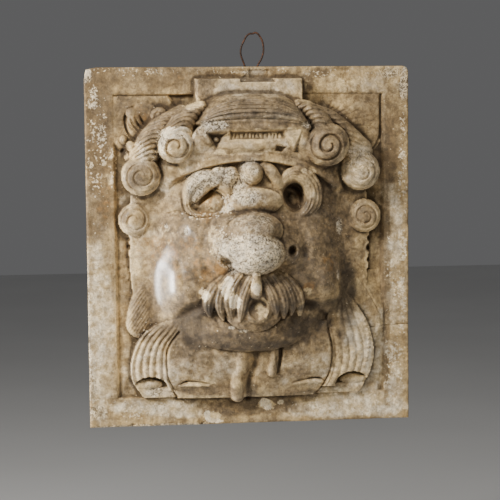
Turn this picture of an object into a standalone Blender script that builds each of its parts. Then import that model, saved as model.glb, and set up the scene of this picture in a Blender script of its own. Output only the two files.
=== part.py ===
"""Plaster relief panel: a framed slab, a grotesque mask in high relief, and the wire it hangs by.

Metres. +X runs to the right, +Z up; the flat back lies on y = 0 and the carving faces -Y.
"""
import math

import bmesh
import bpy
import numpy as np
from mathutils import Matrix, Vector

# Slab and sunk field
PANEL_WIDTH = 0.405
PANEL_HEIGHT = 0.447
SLAB_THICKNESS = 0.040
BORDER_SIDE = 0.0345
BORDER_TOP = 0.0335
BORDER_FOOT = 0.0355
FIELD_SINK = 0.006
# How far the tip of the nose stands out from the border
MASK_RELIEF = 0.107
# Worn upper corners
RIGHT_CORNER_RADIUS = 0.008
LEFT_CORNER_CHIP = 0.005

# Hanging wire: two legs let into the top of the slab, and a pointed eye above
WIRE_THICKNESS = 0.0024
EYE_WIDTH = 0.029
EYE_RISE = 0.0435
LEG_SPACING = 0.015
LEG_DEPTH = 0.024
WIRE_FROM_BACK = 0.010
WIRE_FROM_MIDDLE = 0.0074
SOCKET_CLEARANCE = 0.0003

# Ruling of the clay sheet, and the facets that the finished relief may have
SHEET_CELL = 0.0025
RELIEF_FACETS = 8900
WIRE_SIDES = 8
WIRE_STEPS = 4

# The carving is drawn on a sheet of its own, 336 wide and 378 high within the field, with
# heights over the border to match, and keeps its proportions at any size of field.
SHEET_HALF = 168.0
SHEET_FOOT = -188.0
SHEET_HEAD = 190.0
SHEET_PEAK = 106.0
SHEET_ACROSS = (PANEL_WIDTH - 2 * BORDER_SIDE) / (2 * SHEET_HALF)
SHEET_UP = (PANEL_HEIGHT - BORDER_TOP - BORDER_FOOT) / (SHEET_HEAD - SHEET_FOOT)
SHEET_OUT = MASK_RELIEF / SHEET_PEAK
FAR_BELOW = -1000.0


# Shaping the clay

def smooth_max(low, high, blend):
    mix = np.clip(0.5 + 0.5 * (high - low) / blend, 0.0, 1.0)
    return low * (1.0 - mix) + high * mix + blend * mix * (1.0 - mix)


def ease(value):
    value = np.clip(value, 0.0, 1.0)
    return value * value * (3.0 - 2.0 * value)


def ridges(phase):
    """0 on the crest of each rounded ridge, -1 in the groove between two."""
    return np.abs(np.sin(np.pi * phase)) ** 0.8 - 1.0


def mirrored(points, side):
    return [(side * point[0],) + tuple(point[1:]) for point in points]


def curve_through(points, step=1.5):
    """A smooth curve through the points; whatever else a point carries goes along."""
    points = np.array(points, float)
    knots = np.vstack([2 * points[0] - points[1], points, 2 * points[-1] - points[-2]])
    pieces = []
    for before, start, end, after in zip(knots, knots[1:], knots[2:], knots[3:]):
        count = max(2, int(np.hypot(*(end - start)[:2]) / step))
        t = (np.arange(count) / count)[:, None]
        pieces.append(0.5 * (2 * start + (end - before) * t
                             + (2 * before - 5 * start + 4 * end - after) * t ** 2
                             + (3 * start - before - 3 * end + after) * t ** 3))
    return np.vstack(pieces + [points[-1:]])


class Sheet:
    """A sheet of clay: a height over every crossing of its ruled lines."""

    def __init__(self, x, z):
        self.x = x
        self.z = z
        self.height = np.zeros((z.size, x.size))

    def window(self, left, right, low, high):
        columns = slice(*np.searchsorted(self.x, (left, right)))
        rows = slice(*np.searchsorted(self.z, (low, high)))
        x, z = np.meshgrid(self.x[columns], self.z[rows])
        return (rows, columns), x, z

    def raise_to(self, area, value, blend):
        self.height[area] = smooth_max(self.height[area], value, blend)

    def cut_to(self, area, value, blend):
        self.height[area] = -smooth_max(-self.height[area], -value, blend)

    def plate(self, corners, level, draft, blend=0.8, lean=0.0, sunk=False):
        """A flat facet with straight edges; its corners run anticlockwise."""
        corners = np.array(corners, float)
        (left, low), (right, high) = corners.min(0) - 6.0, corners.max(0) + 6.0
        area, gx, gz = self.window(left, right, low, high)
        outside = np.full(gx.shape, FAR_BELOW)
        for (ax, az), (bx, bz) in zip(corners, np.roll(corners, -1, axis=0)):
            gap = ((bz - az) * (gx - ax) - (bx - ax) * (gz - az)) / np.hypot(bx - ax, bz - az)
            outside = np.maximum(outside, gap)
        value = level + lean * (gz - corners[:, 1].mean())
        if sunk:
            self.cut_to(area, value + np.maximum(outside, 0.0) * draft, blend)
        else:
            self.raise_to(area, value - np.maximum(outside, 0.0) * draft, blend)


class RoundForms(Sheet):
    """Round bosses and hollows in the clay."""

    def oval(self, x, z, rx, rz, turn, reach=1.0):
        size = max(rx, rz) * reach
        area, gx, gz = self.window(x - size, x + size, z - size, z + size)
        across = ((gx - x) * np.cos(turn) + (gz - z) * np.sin(turn)) / rx
        along = ((gz - z) * np.cos(turn) - (gx - x) * np.sin(turn)) / rz
        return area, across, along, np.hypot(across, along)

    def swell(self, x, z, rx, rz, rise, turn=0.0):
        area, across, along, r = self.oval(x, z, rx, rz, turn)
        self.height[area] += rise * np.clip(1.0 - r * r, 0.0, 1.0) ** 2

    def dome(self, x, z, rx, rz, top, fall, power=2.0, blend=4.0, lean=0.0, turn=0.0):
        area, across, along, r = self.oval(x, z, rx, rz, turn)
        value = top - fall * r ** power + lean * along
        self.raise_to(area, np.where(r < 1.0, value, FAR_BELOW), blend)

    def hollow(self, x, z, rx, rz, bottom, rise, blend=3.0, turn=0.0):
        area, across, along, r = self.oval(x, z, rx, rz, turn, 1.5)
        self.cut_to(area, bottom + rise * r * r, blend)


class Clay(RoundForms):
    """Forms that follow a curve over the clay."""

    def along(self, points):
        """Every place near the curve, in terms of the curve: how far along, how far aside."""
        curve = curve_through(points)
        margin = curve[:, 2].max() + 1.0
        left, low = curve[:, :2].min(0) - margin
        right, high = curve[:, :2].max(0) + margin
        area, gx, gz = self.window(left, right, low, high)
        tangent = np.gradient(curve[:, :2], axis=0)
        tangent /= np.hypot(*tangent.T)[:, None]
        walk = np.append(0.0, np.cumsum(np.hypot(*np.diff(curve[:, :2], axis=0).T)))
        near = ((gx[..., None] - curve[:, 0]) ** 2 + (gz[..., None] - curve[:, 1]) ** 2).argmin(-1)
        dx, dz = gx - curve[near, 0], gz - curve[near, 1]
        way = walk[near] + dx * tangent[near, 0] + dz * tangent[near, 1]
        aside = dz * tangent[near, 0] - dx * tangent[near, 1]
        half = np.interp(way, walk, curve[:, 2])
        level = np.interp(way, walk, curve[:, 3])
        beyond = np.maximum(way - walk[-1], 0.0) + np.maximum(-way, 0.0)
        return area, way, aside / half, np.hypot(aside, beyond) / half, half, level

    def roll(self, points, fall, blend=2.0, pitch=0.0, rib=0.0, slant=0.0, bow=0.0, strands=0, strand=0.0):
        area, way, aside, r, half, level = self.along(points)
        value = level - fall * (1.0 - np.sqrt(np.clip(1.0 - r * r, 0.0, 1.0)))
        if pitch:
            value += rib * ridges((way + half * (slant * aside + bow * aside ** 2)) / pitch)
        if strands:
            value += strand * ridges((aside + 1.0) * 0.5 * strands)
        self.raise_to(area, np.where(r < 1.0, value, FAR_BELOW), blend)

    def groove(self, points):
        area, way, aside, r, half, level = self.along(points)
        self.height[area] -= level * ease(1.0 - r)

    def curl(self, x, z, radius, top, fall, start, hand, reaches, depth, squash=1.0, turn=0.0):
        """A disc with a groove that winds outward; reaches are its distances at each quarter turn."""
        area, across, along, r = self.oval(x, z, radius, radius * squash, turn)
        self.raise_to(area, np.where(r < 1.0, top - fall * r ** 3, FAR_BELOW), 1.5)
        quarters = np.arange(0.0, len(reaches) - 0.9, 0.25)
        reach = radius * np.interp(quarters, np.arange(len(reaches)), reaches)
        angle = start + hand * quarters * np.pi / 2
        u, v = reach * np.cos(angle), reach * squash * np.sin(angle)
        taper = 0.4 + 0.6 * np.sin(np.pi * np.arange(quarters.size) / (quarters.size - 1)) ** 0.5
        right, up = x + u * np.cos(turn) - v * np.sin(turn), z + u * np.sin(turn) + v * np.cos(turn)
        self.groove(np.stack([right, up, (1.4 + 0.35 * depth) * taper, depth * taper], -1))


def sunk_field(sheet):
    sink = FIELD_SINK / SHEET_OUT
    x, z = np.meshgrid(sheet.x, sheet.z)
    right_cove = (SHEET_HALF + 3.0 - x) * 0.5
    left_cove = (x + SHEET_HALF) * 0.4
    inside = np.minimum.reduce([left_cove, right_cove, z - SHEET_FOOT, SHEET_HEAD - z])
    sheet.height -= sink * ease(inside / 2.6 + 0.2)


def corner_leaves(sheet):
    # left: a low plate with a slanting end, on it a scooped shell with a knob
    sheet.plate([(-171, 136), (-150, 118), (-88, 160), (-88, 168), (-101, 187), (-171, 187)], -0.8, 1.2)
    sheet.swell(-140, 176, 34, 18, 2.5)
    sheet.dome(-130, 154, 25, 26, 7, 6, 2.2, 2.5)
    sheet.groove([(-141, 176, 2.0, 1.5), (-149, 170, 2.8, 5), (-153, 157, 3.2, 7), (-149, 142, 3, 6),
                  (-139, 131, 2.4, 2.5)])
    sheet.hollow(-131, 153, 15, 19, 2, 6, 2.0, turn=0.5)
    sheet.dome(-145, 167, 7, 7, 7, 4, 2.0, 3)
    for right, up in ((-151, 159.5), (-146.4, 160), (-141, 162), (-135, 164.5)):
        sheet.groove([(right, up, 1.5, 1.5), (right + 4, up - 8.5, 2.1, 3.6),
                      (right + 11, up - 16, 1.6, 1.5)])
    sheet.curl(-111, 163.5, 11, 14, 5, 0.0, 1, (0.2, 0.4, 0.55, 0.65, 0.7), 2.0)
    # right: a worn low leaf that fills its corner, with fine veins spreading from behind the hair
    sheet.plate([(64, 176), (120, 140), (148, 121), (158, 121), (165, 129), (165, 189), (64, 189)], -1.5,
                1.5, 1.0)
    sheet.swell(128, 160, 40, 34, 3)
    for k in range(10):
        turn = math.radians(-38 + 11.5 * k)
        right, up = math.cos(turn), math.sin(turn)
        far = (66, 70, 72, 72, 66, 52, 44, 38, 35, 34)[k]
        sheet.groove([(92 + reach * right, 152 + reach * up, 1.9, depth)
                      for reach, depth in ((22, 0.5), (0.64 * far, 0.8), (far, 0.3))])
    sheet.groove([(166, 186, 2.0, 1), (167, 160, 2.0, 2), (166, 136, 2.4, 3), (158, 121, 2.6, 3.5),
                  (148, 119, 2.2, 2)])


def side_flaps(sheet):
    # thin ears beside the cheeks, running out to the field
    for side in (-1, 1):
        area, x, z = sheet.window(-155, 155, -104, 84)
        u = side * x
        fall = np.clip((u - 98) / 54, 0, 1)
        value = 19 - 15 * fall ** 1.2 - 3 * np.clip((-z - 20) / 60, 0, 1)
        edge = 151 - 0.0010 * (z - 8) ** 2
        inside = (u > 90) & (u < edge)
        sheet.raise_to(area, np.where(inside, value, FAR_BELOW), 2.0)
        for k in range(4):
            depth = 0.55 + 0.35 * side
            vein = [(118, 12 - 14 * k, 2.0, 0.3 * depth), (133, 9 - 15 * k, 2.4, 1.3 * depth),
                    (147, 2 - 14 * k, 2.0, 0.6 * depth)]
            sheet.groove(mirrored(vein, side))
    # drilled holes along the outer edges
    for z, r in ((8, 3.2), (-4, 4.6), (-19, 3.6), (-33, 3.8), (-46, 2.8), (-56, 3.0)):
        sheet.hollow(151.5, z, r * 0.75, r, -10, 9, 1.0)
    for z, r in ((12, 3.2), (2, 4.6), (-11, 2.4), (-24, 2.6), (-40, 2.8)):
        sheet.hollow(-151.5, z, r * 0.6, r, -9, 9, 1.0)


def face(sheet):
    area, x, z = sheet.window(-123, 121, -126, 110)
    r = np.clip(np.abs(x + 1) / 121.0, 0, 1)
    value = 10 + 41 * (1 - r ** 2.5)
    value -= 7 * np.clip((z - 45) / 55, 0, 1) ** 1.5 + 18 * np.clip((-z - 58) / 62, 0, 1) ** 1.6
    sheet.raise_to(area, np.where(r < 1, value, FAR_BELOW), 5.0)
    for side in (-1, 1):
        sheet.swell(side * 70 - 1, -22, 60, 74, 13)
        sheet.swell(side * 92, -46, 34, 44, 7)
        sheet.swell(side * 82, 16, 30, 26, 3)
        sheet.swell(side * 100, -42, 26, 44, 4)
        # crease where the cheek turns under onto the neck
        sheet.groove(mirrored([(56, -62, 8, 4), (80, -76, 11, 6.5), (100, -92, 8, 4)], side))
        # fold from the wing of the nose round the mouth
        sheet.groove(mirrored([(50, 40, 9, 1), (59, 18, 11, 2.6), (62, -4, 12, 3), (56, -26, 11, 2)], side))
    sheet.swell(64, 1, 9, 6, -2.2)
    sheet.swell(72, -66, 16, 12, -5)
    sheet.groove([(-102, 45, 1.8, 2), (-92, 48, 2.2, 2.6), (-86, 46, 1.8, 1.5)])
    sheet.groove([(-104, 39, 1.6, 1), (-94, 42, 2, 2), (-88, 40, 1.6, 1)])


def brim_edge(x):
    return 108.5 - (x + 4) ** 2 / 385.0


def helmet(sheet):
    area, x, z = sheet.window(-122, 122, 40, 158)
    side = np.abs(x) / 118.0
    body = 53 - 30 * side ** 2.4 - 12 * np.clip((np.abs(x) - 98) / 22, 0, 1) ** 2
    above = z - brim_edge(x)
    near = np.clip((102 - np.abs(x)) / 30, 0, 1)
    banded = (above > 5.5) & (above < 23.5)
    bands = (0.9 + 1.1 * ease((x + 75) / 60)) * ridges((above - 1.0) / 9.0) * near * banded
    under = np.clip(-above, 0, 60) * (0.8 + 3.7 * near)
    tuck = 8 * np.clip((z - 150 + 0.45 * np.abs(x)) / 30, 0, 1) * (np.abs(x) > 60)
    value = np.where((np.abs(x) < 121) & (above > -30), body + bands - under - tuck, FAR_BELOW)
    sheet.raise_to(area, value, 2.5)


def top_block(sheet):
    sheet.plate([(-66, 172), (64, 172), (64, 207.5), (-66, 207.5)], 25, 14.0, 1.0)


def notch(sheet):
    # a shallow notch in the border over the block, its left end cut on a slant
    sheet.plate([(2, 210.5), (25, 210.5), (25, 219), (2, 219)], -2.4, 2.0, sunk=True)
    sheet.plate([(-6, 210.5), (2, 210.5), (2, 218)], -1.2, 1.0, sunk=True)


def hair_rolls(sheet):
    # on each side one roll behind and one in front, each a coil of thick strands ending in a curl
    sheet.roll([(-84, 165, 12, 30), (-106, 150, 15, 36), (-122, 134, 16, 37), (-132, 112, 18, 35)], 20,
               2.0, pitch=7.9, rib=3.4, slant=1.0, bow=-0.6)
    sheet.roll([(84, 166, 10, 28), (98, 158, 12, 33), (116, 143, 13, 36), (134, 118, 19, 37)], 20,
               2.0, pitch=9.5, rib=2.6, slant=-1.5, bow=0.2)
    sheet.roll([(-60, 174, 8, 44), (-72, 166, 12, 49), (-84, 154, 15.5, 54), (-93, 138, 18, 58)], 22,
               2.0, pitch=7.1, rib=3.8, slant=0.75, bow=-0.7)
    sheet.roll([(58, 175, 8, 44), (69, 170, 11, 49), (82, 157, 13, 54), (90, 140, 16, 57)], 22,
               2.0, pitch=7.1, rib=3.6, slant=-0.75, bow=-0.5)
    sheet.curl(-94.2, 126.5, 21, 63, 11, -1.4, 1, (0.12, 0.22, 0.45, 0.62, 0.66, 0.66, 0.8), 4.6, 0.96, 0.4)
    sheet.curl(90.8, 126.4, 27.5, 63, 14, 0.2, -1, (0.1, 0.22, 0.36, 0.4, 0.5, 0.6, 0.74, 0.8),
               4.6, 0.95, 0.6)
    sheet.curl(-135.5, 90.5, 24, 40, 12, 0.6, 1, (0.2, 0.3, 0.42, 0.5, 0.58, 0.66, 0.74, 0.8, 0.84), 2.2)
    sheet.curl(135.5, 94, 24.5, 42, 13, 2.4, -1, (0.2, 0.3, 0.42, 0.5, 0.58, 0.66, 0.74, 0.8, 0.84), 2.4)
    sheet.curl(-143.5, 36, 20, 19, 8, 0.6, 1, (0.2, 0.35, 0.5, 0.6, 0.7, 0.78, 0.84), 2.2)
    sheet.curl(143.5, 37, 21, 21, 9, 2.4, -1, (0.15, 0.26, 0.38, 0.46, 0.54, 0.62, 0.7, 0.76, 0.82), 2.4)
    # ragged leaf ends between the left roll and the border
    for x, z, r, top in ((-146, 126, 6, 22), (-150, 113, 5, 14), (-139, 121, 5, 27), (-155, 134, 5, 8)):
        sheet.dome(x, z, r, r * 1.3, top, 7, 2.2, 1.0, turn=0.6)
    sheet.hollow(-157, 120, 4, 5, -8, 8, 1.0)


def hair_front(sheet):
    area, x, z = sheet.window(-82, 82, 140, 204)
    side = np.abs(x / 70)
    arch = 184 - 30 * side ** 3
    foot = 152.5 + 3 * np.cos(np.clip(x / 62, -1, 1) * np.pi / 2)
    t = (z - foot) / np.maximum(arch - foot, 6.0)
    body = 46 + 18 * np.sin(np.pi * (0.30 + 0.58 * np.clip(t, -0.2, 1.0)))
    body -= 9 * side ** 4 + 12 * ease((side - 0.82) / 0.22)
    depth = 1.2 + 2.6 * np.clip((arch - foot) / 30, 0, 1)
    strands = depth * ridges(3.7 * t + 1.8 * t ** 2 + 0.5) * ((t > 0) & (t < 1.0))
    cove = 3.6 * np.clip(np.where(t > 1, (z - arch) / (1 + 1.1 * side ** 2), 0), 0, 30)
    value = np.where((t > -0.2) & (side < 1.0 + 0.04 * t), body + strands - cove, FAR_BELOW)
    sheet.raise_to(area, value, 1.5)


def diadem(sheet):
    # a thick lip over a sunk band of shallow strokes, then a smooth bar
    sheet.roll([(-44, 149, 6.5, 58), (0, 150.5, 6.2, 60), (45, 149.5, 6.2, 58), (66, 148, 5, 53)], 5, 1.5)
    sheet.roll([(-34, 147, 7, 60), (-50, 145, 12, 60), (-61, 136, 13, 56), (-69, 123, 11, 48),
                (-84, 108, 9, 39)], 7, 3)
    sheet.roll([(56, 148, 6, 56), (62, 138, 8, 55), (60, 126, 8, 53), (70, 113, 8, 48),
                (84, 103, 8, 42)], 7, 3)
    sheet.plate([(-28, 134), (38, 134), (38, 143), (-28, 143)], 50, 3.5, sunk=True)
    for k in range(14):
        x = -26 + 4.7 * k + 0.8 * np.sin(5.1 * k)
        tilt = 0.6 * np.sin(2.4 * k)
        head, foot = 141.5 + 0.8 * np.sin(3.3 * k), 136.0 + 1.2 * np.cos(1.9 * k)
        sheet.groove([(x + tilt, head, 1.4, 1.2), (x, (head + foot) / 2, 1.6, 1.9),
                      (x - tilt, foot, 1.4, 1.2)])
    sheet.roll([(-40, 126, 5, 53), (-20, 127.5, 6.5, 57), (10, 127.5, 6.5, 57), (30, 126, 5, 54)], 6, 1.2)
    sheet.plate([(-45, 126), (-38, 139), (-52, 139)], 46, 2.6, 2.0, sunk=True)
    sheet.dome(-45, 134, 4.5, 3.5, 51, 5, 2.0, 1.2)
    sheet.plate([(49, 125), (58, 144), (38, 144)], 56, 1.5, 0.6, lean=0.05)
    sheet.plate([(28, 121), (34, 119), (39, 124), (29, 125)], 46, 3.0, sunk=True)


def brow_boss(sheet):
    sheet.dome(-29, 90, 13, 11.5, 56, 11, 2.2, 3, turn=0.5)
    sheet.dome(-40, 95, 10, 6, 53, 7, 2.0, 2.5, turn=-0.3)
    sheet.roll([(13, 103, 6, 52), (21, 95, 8, 55), (29, 83, 7, 53), (32, 76, 5, 50)], 8, 2.0)
    sheet.dome(-2.5, 93, 15.5, 16.5, 61, 16, 3.2, 1.8)


def eye_ring(sheet, place, size, hole, hole_size, top, lines):
    """A thick brow rolling round into a thin lid, grooved on its outer side."""
    (x, z), (rx, rz) = place, size
    side = np.sign(x)
    area, gx, gz = sheet.window(x - rx, x + rx, z - rz, z + rz)
    outer = np.hypot((gx - x) / rx, (gz - z) / rz)
    inner = np.hypot((gx - hole[0]) / hole_size[0], (gz - hole[1]) / hole_size[1])
    out = np.maximum(inner - 1, 0)
    t = out / np.maximum(out + 1.6 * (1 - outer), 1e-6)
    body = top - 10 * np.abs(2 * t - 0.9) ** 2.2 + 5 * ease((gz - z) / rz)
    fan = ease((np.cos(np.arctan2(gz - z, (gx - x) * side) - 0.3) + 0.25) / 0.9)
    body += 2.6 * fan * ridges(t * lines)
    sheet.raise_to(area, np.where((outer < 1) & (inner > 0.9), body, FAR_BELOW), 2.0)
    # the floor of the socket is deepest under the outer end of the brow
    floor = top - 15 - side * 0.55 * (gx - hole[0]) - 0.62 * (gz - hole[1])
    wall = 110 * np.maximum(inner - 0.9, 0)
    sheet.cut_to(area, np.where(inner < 1.6, floor + wall, -FAR_BELOW), 2.5)


def eyes(sheet):
    eye_ring(sheet, (-59, 66), (28, 30), (-54, 58), (21, 14.5), 45, 3.4)
    eye_ring(sheet, (56, 65), (31, 32), (50, 61), (14, 18), 46, 4.6)
    # a thick brow over each socket, the right one drawn out into strands
    sheet.roll([(-81, 58, 4, 46), (-79.5, 70, 7, 49), (-73, 81, 9, 53), (-60, 88.5, 9.5, 55),
                (-46, 86, 9, 56), (-35, 78, 7.5, 54), (-30, 70, 5, 52)], 10, 3.5)
    sheet.roll([(35, 82, 5, 50), (44, 91, 7, 52), (57, 91, 10, 52), (70, 81, 11, 50), (76, 65, 10.5, 46),
                (74, 50, 8, 42), (64, 41, 4, 40)], 6, 4.0, strands=5, strand=1.7)
    # the left socket is filled but for a slit under the brow, the right one stands open
    sheet.dome(-52, 55, 22, 14.5, 42.5, 4, 3.0, 2.5, lean=-2, turn=0.5)
    sheet.roll([(-74, 61, 6, 44), (-68.5, 70, 8, 48), (-58, 79, 9, 51), (-47, 84, 8, 51)], 8, 5.0)
    sheet.groove([(-43, 78.5, 2.4, 4), (-49.5, 72.5, 4.2, 10), (-56.4, 66, 4.8, 12), (-62, 61, 4.2, 9),
                  (-66, 56, 2.8, 4)])
    sheet.groove([(-75, 59, 2.4, 2), (-71, 51.5, 3.2, 4), (-63, 47.5, 2.2, 1.5)])
    sheet.groove([(-86, 66, 1.5, 1), (-86, 55, 1.9, 2.4), (-82, 45.5, 1.9, 2.6), (-72.6, 41.3, 1.9, 2.8),
                  (-55.7, 40.4, 1.9, 2.6), (-37, 45.5, 1.6, 1.5)])
    sheet.groove([(-81, 62, 1.4, 1), (-80.5, 53, 1.7, 2.2), (-75.5, 46, 1.5, 1)])
    sheet.hollow(49, 62, 10.5, 16, 20, 18, 4, turn=0.4)
    sheet.dome(52, 56, 8, 12, 31, 8, 2.0, 3, turn=0.4)


def nose(sheet):
    # a bar between the eyes, then a bulb and a broad tip that swell out of one mound
    sheet.swell(-4, 6, 82, 50, 24)
    sheet.dome(1, 55, 38, 28, 58, 16, 2.4, 8)
    sheet.dome(2, 59, 33, 16.5, 64.5, 9, 2.6, 7, lean=2.0)
    sheet.dome(-6, 12, 58, 38, 82, 42, 2.0, 16)
    sheet.dome(-1, 25, 34, 22, 94, 26, 2.4, 8)
    sheet.dome(-31, 4, 20, 14, 85, 20, 2.0, 20, turn=0.3)
    sheet.dome(38, -2, 16, 16, 73, 18, 2.0, 18)
    sheet.dome(-1, -3, 35.5, 25.5, 106, 30, 2.4, 20)
    sheet.hollow(-36, -13.5, 8, 4, 54, 10, 3, turn=-0.6)
    sheet.hollow(45, -1, 5.5, 7, 55, 12, 5)


def moustache(sheet):
    sheet.dome(-2, -45, 44, 26, 73, 17, 2.4, 8)
    sheet.dome(-2, -71, 37, 29.5, 65, 11, 3.0, 2)
    # locks from the outer one inward on each side, each scored into strands
    widths = (5, 6.6, 6.8, 5.2, 2.2)
    for wide, levels, places in (
            (1.2, (60, 66, 64, 60, 52), ((36, -34), (45.6, -47), (51.4, -59), (54.3, -69), (55.5, -81))),
            (1.0, (66, 70, 68, 64, 56), ((28.5, -34), (37, -46), (42, -59), (44.4, -70), (44, -80))),
            (1.15, (70, 74, 73, 68, 59), ((18, -32), (27, -46), (32, -60), (34, -72), (34.5, -83))),
            (1.05, (74, 78, 76, 71, 62), ((7, -34), (15.5, -48), (20.5, -61), (23, -72), (24.5, -83))),
            (1.2, (60, 66, 64, 60, 51), ((-40, -35), (-51, -47), (-56, -60), (-57, -70), (-55, -80))),
            (1.0, (66, 70, 68, 64, 55), ((-31, -34), (-40.5, -47), (-44, -61), (-43, -73), (-39, -84))),
            (1.35, (70, 74, 72, 67, 58), ((-20, -32), (-28, -46), (-31.5, -60), (-31, -72), (-28, -86))),
            (1.0, (76, 79, 77, 73, 66), ((-8, -33), (-13.5, -46), (-17.5, -60), (-19, -73), (-20, -85)))):
        sheet.roll([(*place, wide * width, level) for place, width, level in zip(places, widths, levels)],
                   6, 1.4, strands=3, strand=1.5)


def mouth(sheet):
    sheet.dome(1.5, -70.5, 18.5, 19, 72, 7, 3.0, 3)
    sheet.hollow(1.5, -70.5, 13.5, 14.8, 57, 15, 1.5)
    sheet.dome(3.6, -72.5, 12, 13.2, 66.5, 2, 4.0, 1.5, lean=-3)
    # the short ridge from nose to lip
    sheet.roll([(-1.5, -29, 5, 79), (-1.5, -41, 7, 83), (-1.8, -51, 7.4, 80)], 5, 1.5)
    # a pad of chin swings under the mouth from one moustache end to the other
    sheet.roll([(-44, -80, 6, 46), (-32, -94, 9, 50), (-4, -104, 11, 54), (20, -101, 10, 52),
                (40, -84, 6, 46)], 10, 4)


def edge_line(points):
    """A function that gives the reach of a smooth edge at any level, from (level, reach) points."""
    line = curve_through(points)
    return lambda z: np.interp(-z, -line[:, 0], line[:, 1])


# where the collar ends on each side and the fan begins, and where the fan ends
collar_edges = {
    -1: edge_line([(-84, 84), (-101, 91), (-117, 103), (-132, 107), (-159, 106), (-172, 101), (-190, 92)]),
    1: edge_line([(-46, 112), (-75, 99), (-92, 93), (-106, 95), (-128, 99), (-154, 98), (-173, 91),
                  (-190, 78)])}
fan_edges = {
    -1: edge_line([(-84, 94), (-94, 119), (-108, 137), (-125, 146), (-143, 151), (-156, 151), (-170, 147),
                   (-190, 133)]),
    1: edge_line([(-46, 113), (-71, 131), (-98, 147), (-131, 155), (-152, 153), (-171, 146), (-190, 137)])}


def collar(sheet):
    area, x, z = sheet.window(-115, 115, SHEET_FOOT, -92)
    left, right = -collar_edges[-1](z), collar_edges[1](z)
    u = np.clip(np.abs(2 * x - left - right) / (right - left), 0, 1)
    value = 34 - 7 * u ** 3 - 19 * np.clip((-z - 126) / 62, 0, 1) ** 1.4
    sheet.raise_to(area, np.where(u < 1, value, FAR_BELOW), 1.5)
    for side in (-1, 1):
        fold = [(94, -172, 2, 0.5), (84, -165.5, 2.4, 3.5), (68, -165.5, 2.4, 3), (50, -170.5, 1.6, 0.5)]
        sheet.groove(mirrored(fold, side))
        sheet.groove(mirrored([(92, -171, 2.5, -1.5), (72, -170, 3, -3), (52, -172, 2, -1)], side))
    # straps hanging down the middle, with deep grooves beside them
    sheet.groove([(34, -112, 4, 7), (33.5, -135, 4, 8), (31, -156, 3, 3)])
    sheet.groove([(1, -112, 8, 5), (2.5, -130, 9, 6.5), (1.5, -148, 9, 6.5), (-4, -160, 8, 6),
                  (-5, -178, 7, 5), (-4, -191, 6, 4)])
    sheet.roll([(24, -114, 7, 35), (24, -134, 6.5, 36), (22.5, -150, 7.5, 36), (22.5, -155, 7, 35)],
               13, 1.2)
    sheet.roll([(-14.5, -114, 9, 36), (-14.5, -136, 9.5, 36), (-15, -149, 8.5, 33)], 9, 1.5)
    sheet.roll([(-19.5, -158, 8.5, 31), (-20, -172, 9.5, 30), (-19, -186, 8.5, 22)], 11, 2.0)


def fans(sheet):
    # the left leaf is low and scored on a slant, the right one smooth but for a crease
    sheet.roll([(-133, -34, 2, 7), (-134, -46, 7, 9), (-136, -60, 12, 10), (-137, -76, 16, 11),
                (-138, -94, 18, 11)], 8, 2.0, pitch=7.0, rib=0.9, slant=1.7)
    sheet.plate([(121, -58), (132, -110), (152, -124), (164, -104), (162, -86), (150, -60), (137, -38),
                 (124, -38)], 6, 0.6, 6.0)
    sheet.plate([(136, -100), (128, -192), (161, -192), (164, -160), (164, -100)], -0.5, 0.8, 2.0)
    sheet.groove([(138, -42, 1.8, 0.8), (150, -61, 2.0, 1.8), (164, -86, 1.8, 1.0)])
    for side, (phase, count), top, levels in ((-1, (-0.68, 5.26), -84, (27, 27, 17)),
                                              (1, (-0.55, 6.06), -46, (17, 25, 17))):
        area, x, z = sheet.window(-165, 165, SHEET_FOOT + 1, top)
        u = x * side
        inner, outer = collar_edges[side](z), fan_edges[side](z)
        k = (u - inner) / np.maximum(outer - inner, 3)
        inside = (k > 0) & (k < 1)
        rib = (2.6 - 0.8 * side) * ease((top - z) / 30)
        base = np.interp(-z, (-top, 110, 184), levels)
        value = base - 8 * np.clip(k, 0, 1) ** 2 + rib * ridges(np.minimum(phase + count * k, 4.5))
        sheet.raise_to(area, np.where(inside, value, FAR_BELOW), 1.2)
        # an arched hollow near the foot with a low pad in it, and a smooth foot below
        middle = 126.5
        arch = -174 + 15 * np.sqrt(np.clip(1 - ((u - middle) / 21) ** 2, 0, 1))
        foot = inside & (z < np.where(np.abs(u - middle) < 21, arch, -177))
        pad = np.sqrt(np.clip(1 - ((u - middle - 3) / 18) ** 2 - ((z + 169.5) / 7) ** 2, 0, 1))
        floor = np.where(z > -174.5, 3 + 7 * pad, 6.5)
        sheet.height[area] = np.where(foot, np.minimum(sheet.height[area], floor), sheet.height[area])
        sheet.groove([(side * float(collar_edges[side](level)), level, 2.4, 3.5)
                      for level in range(-186, -96, 12)])


def neck(sheet):
    sheet.roll([(-106, -84, 12, 10), (-90, -90, 15, 24), (-68, -97, 17, 37), (-42, -105, 18, 47),
                (-3, -108, 19, 52), (32, -105, 19, 48), (54, -98, 17, 40), (74, -89, 15, 28),
                (90, -81, 12, 12)], 20, 12)


FORMS = (sunk_field, corner_leaves, side_flaps, face, helmet, top_block, notch, hair_rolls, hair_front,
         diadem, brow_boss, eyes, collar, fans, neck, moustache, mouth, nose)


def carved_sheet(columns, rows):
    """Heights over the border, in metres, on a ruled sheet over the whole slab."""
    x = np.linspace(-PANEL_WIDTH / 2, PANEL_WIDTH / 2, columns) / SHEET_ACROSS
    up = np.linspace(0.0, PANEL_HEIGHT, rows)
    sheet = Clay(x, SHEET_FOOT + (up - BORDER_FOOT) / SHEET_UP)
    for form in FORMS:
        form(sheet)
    return sheet.height * SHEET_OUT


# Solids

def fresh_collection(name):
    collection = bpy.data.collections.new(name)
    bpy.context.scene.collection.children.link(collection)
    return collection


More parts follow.
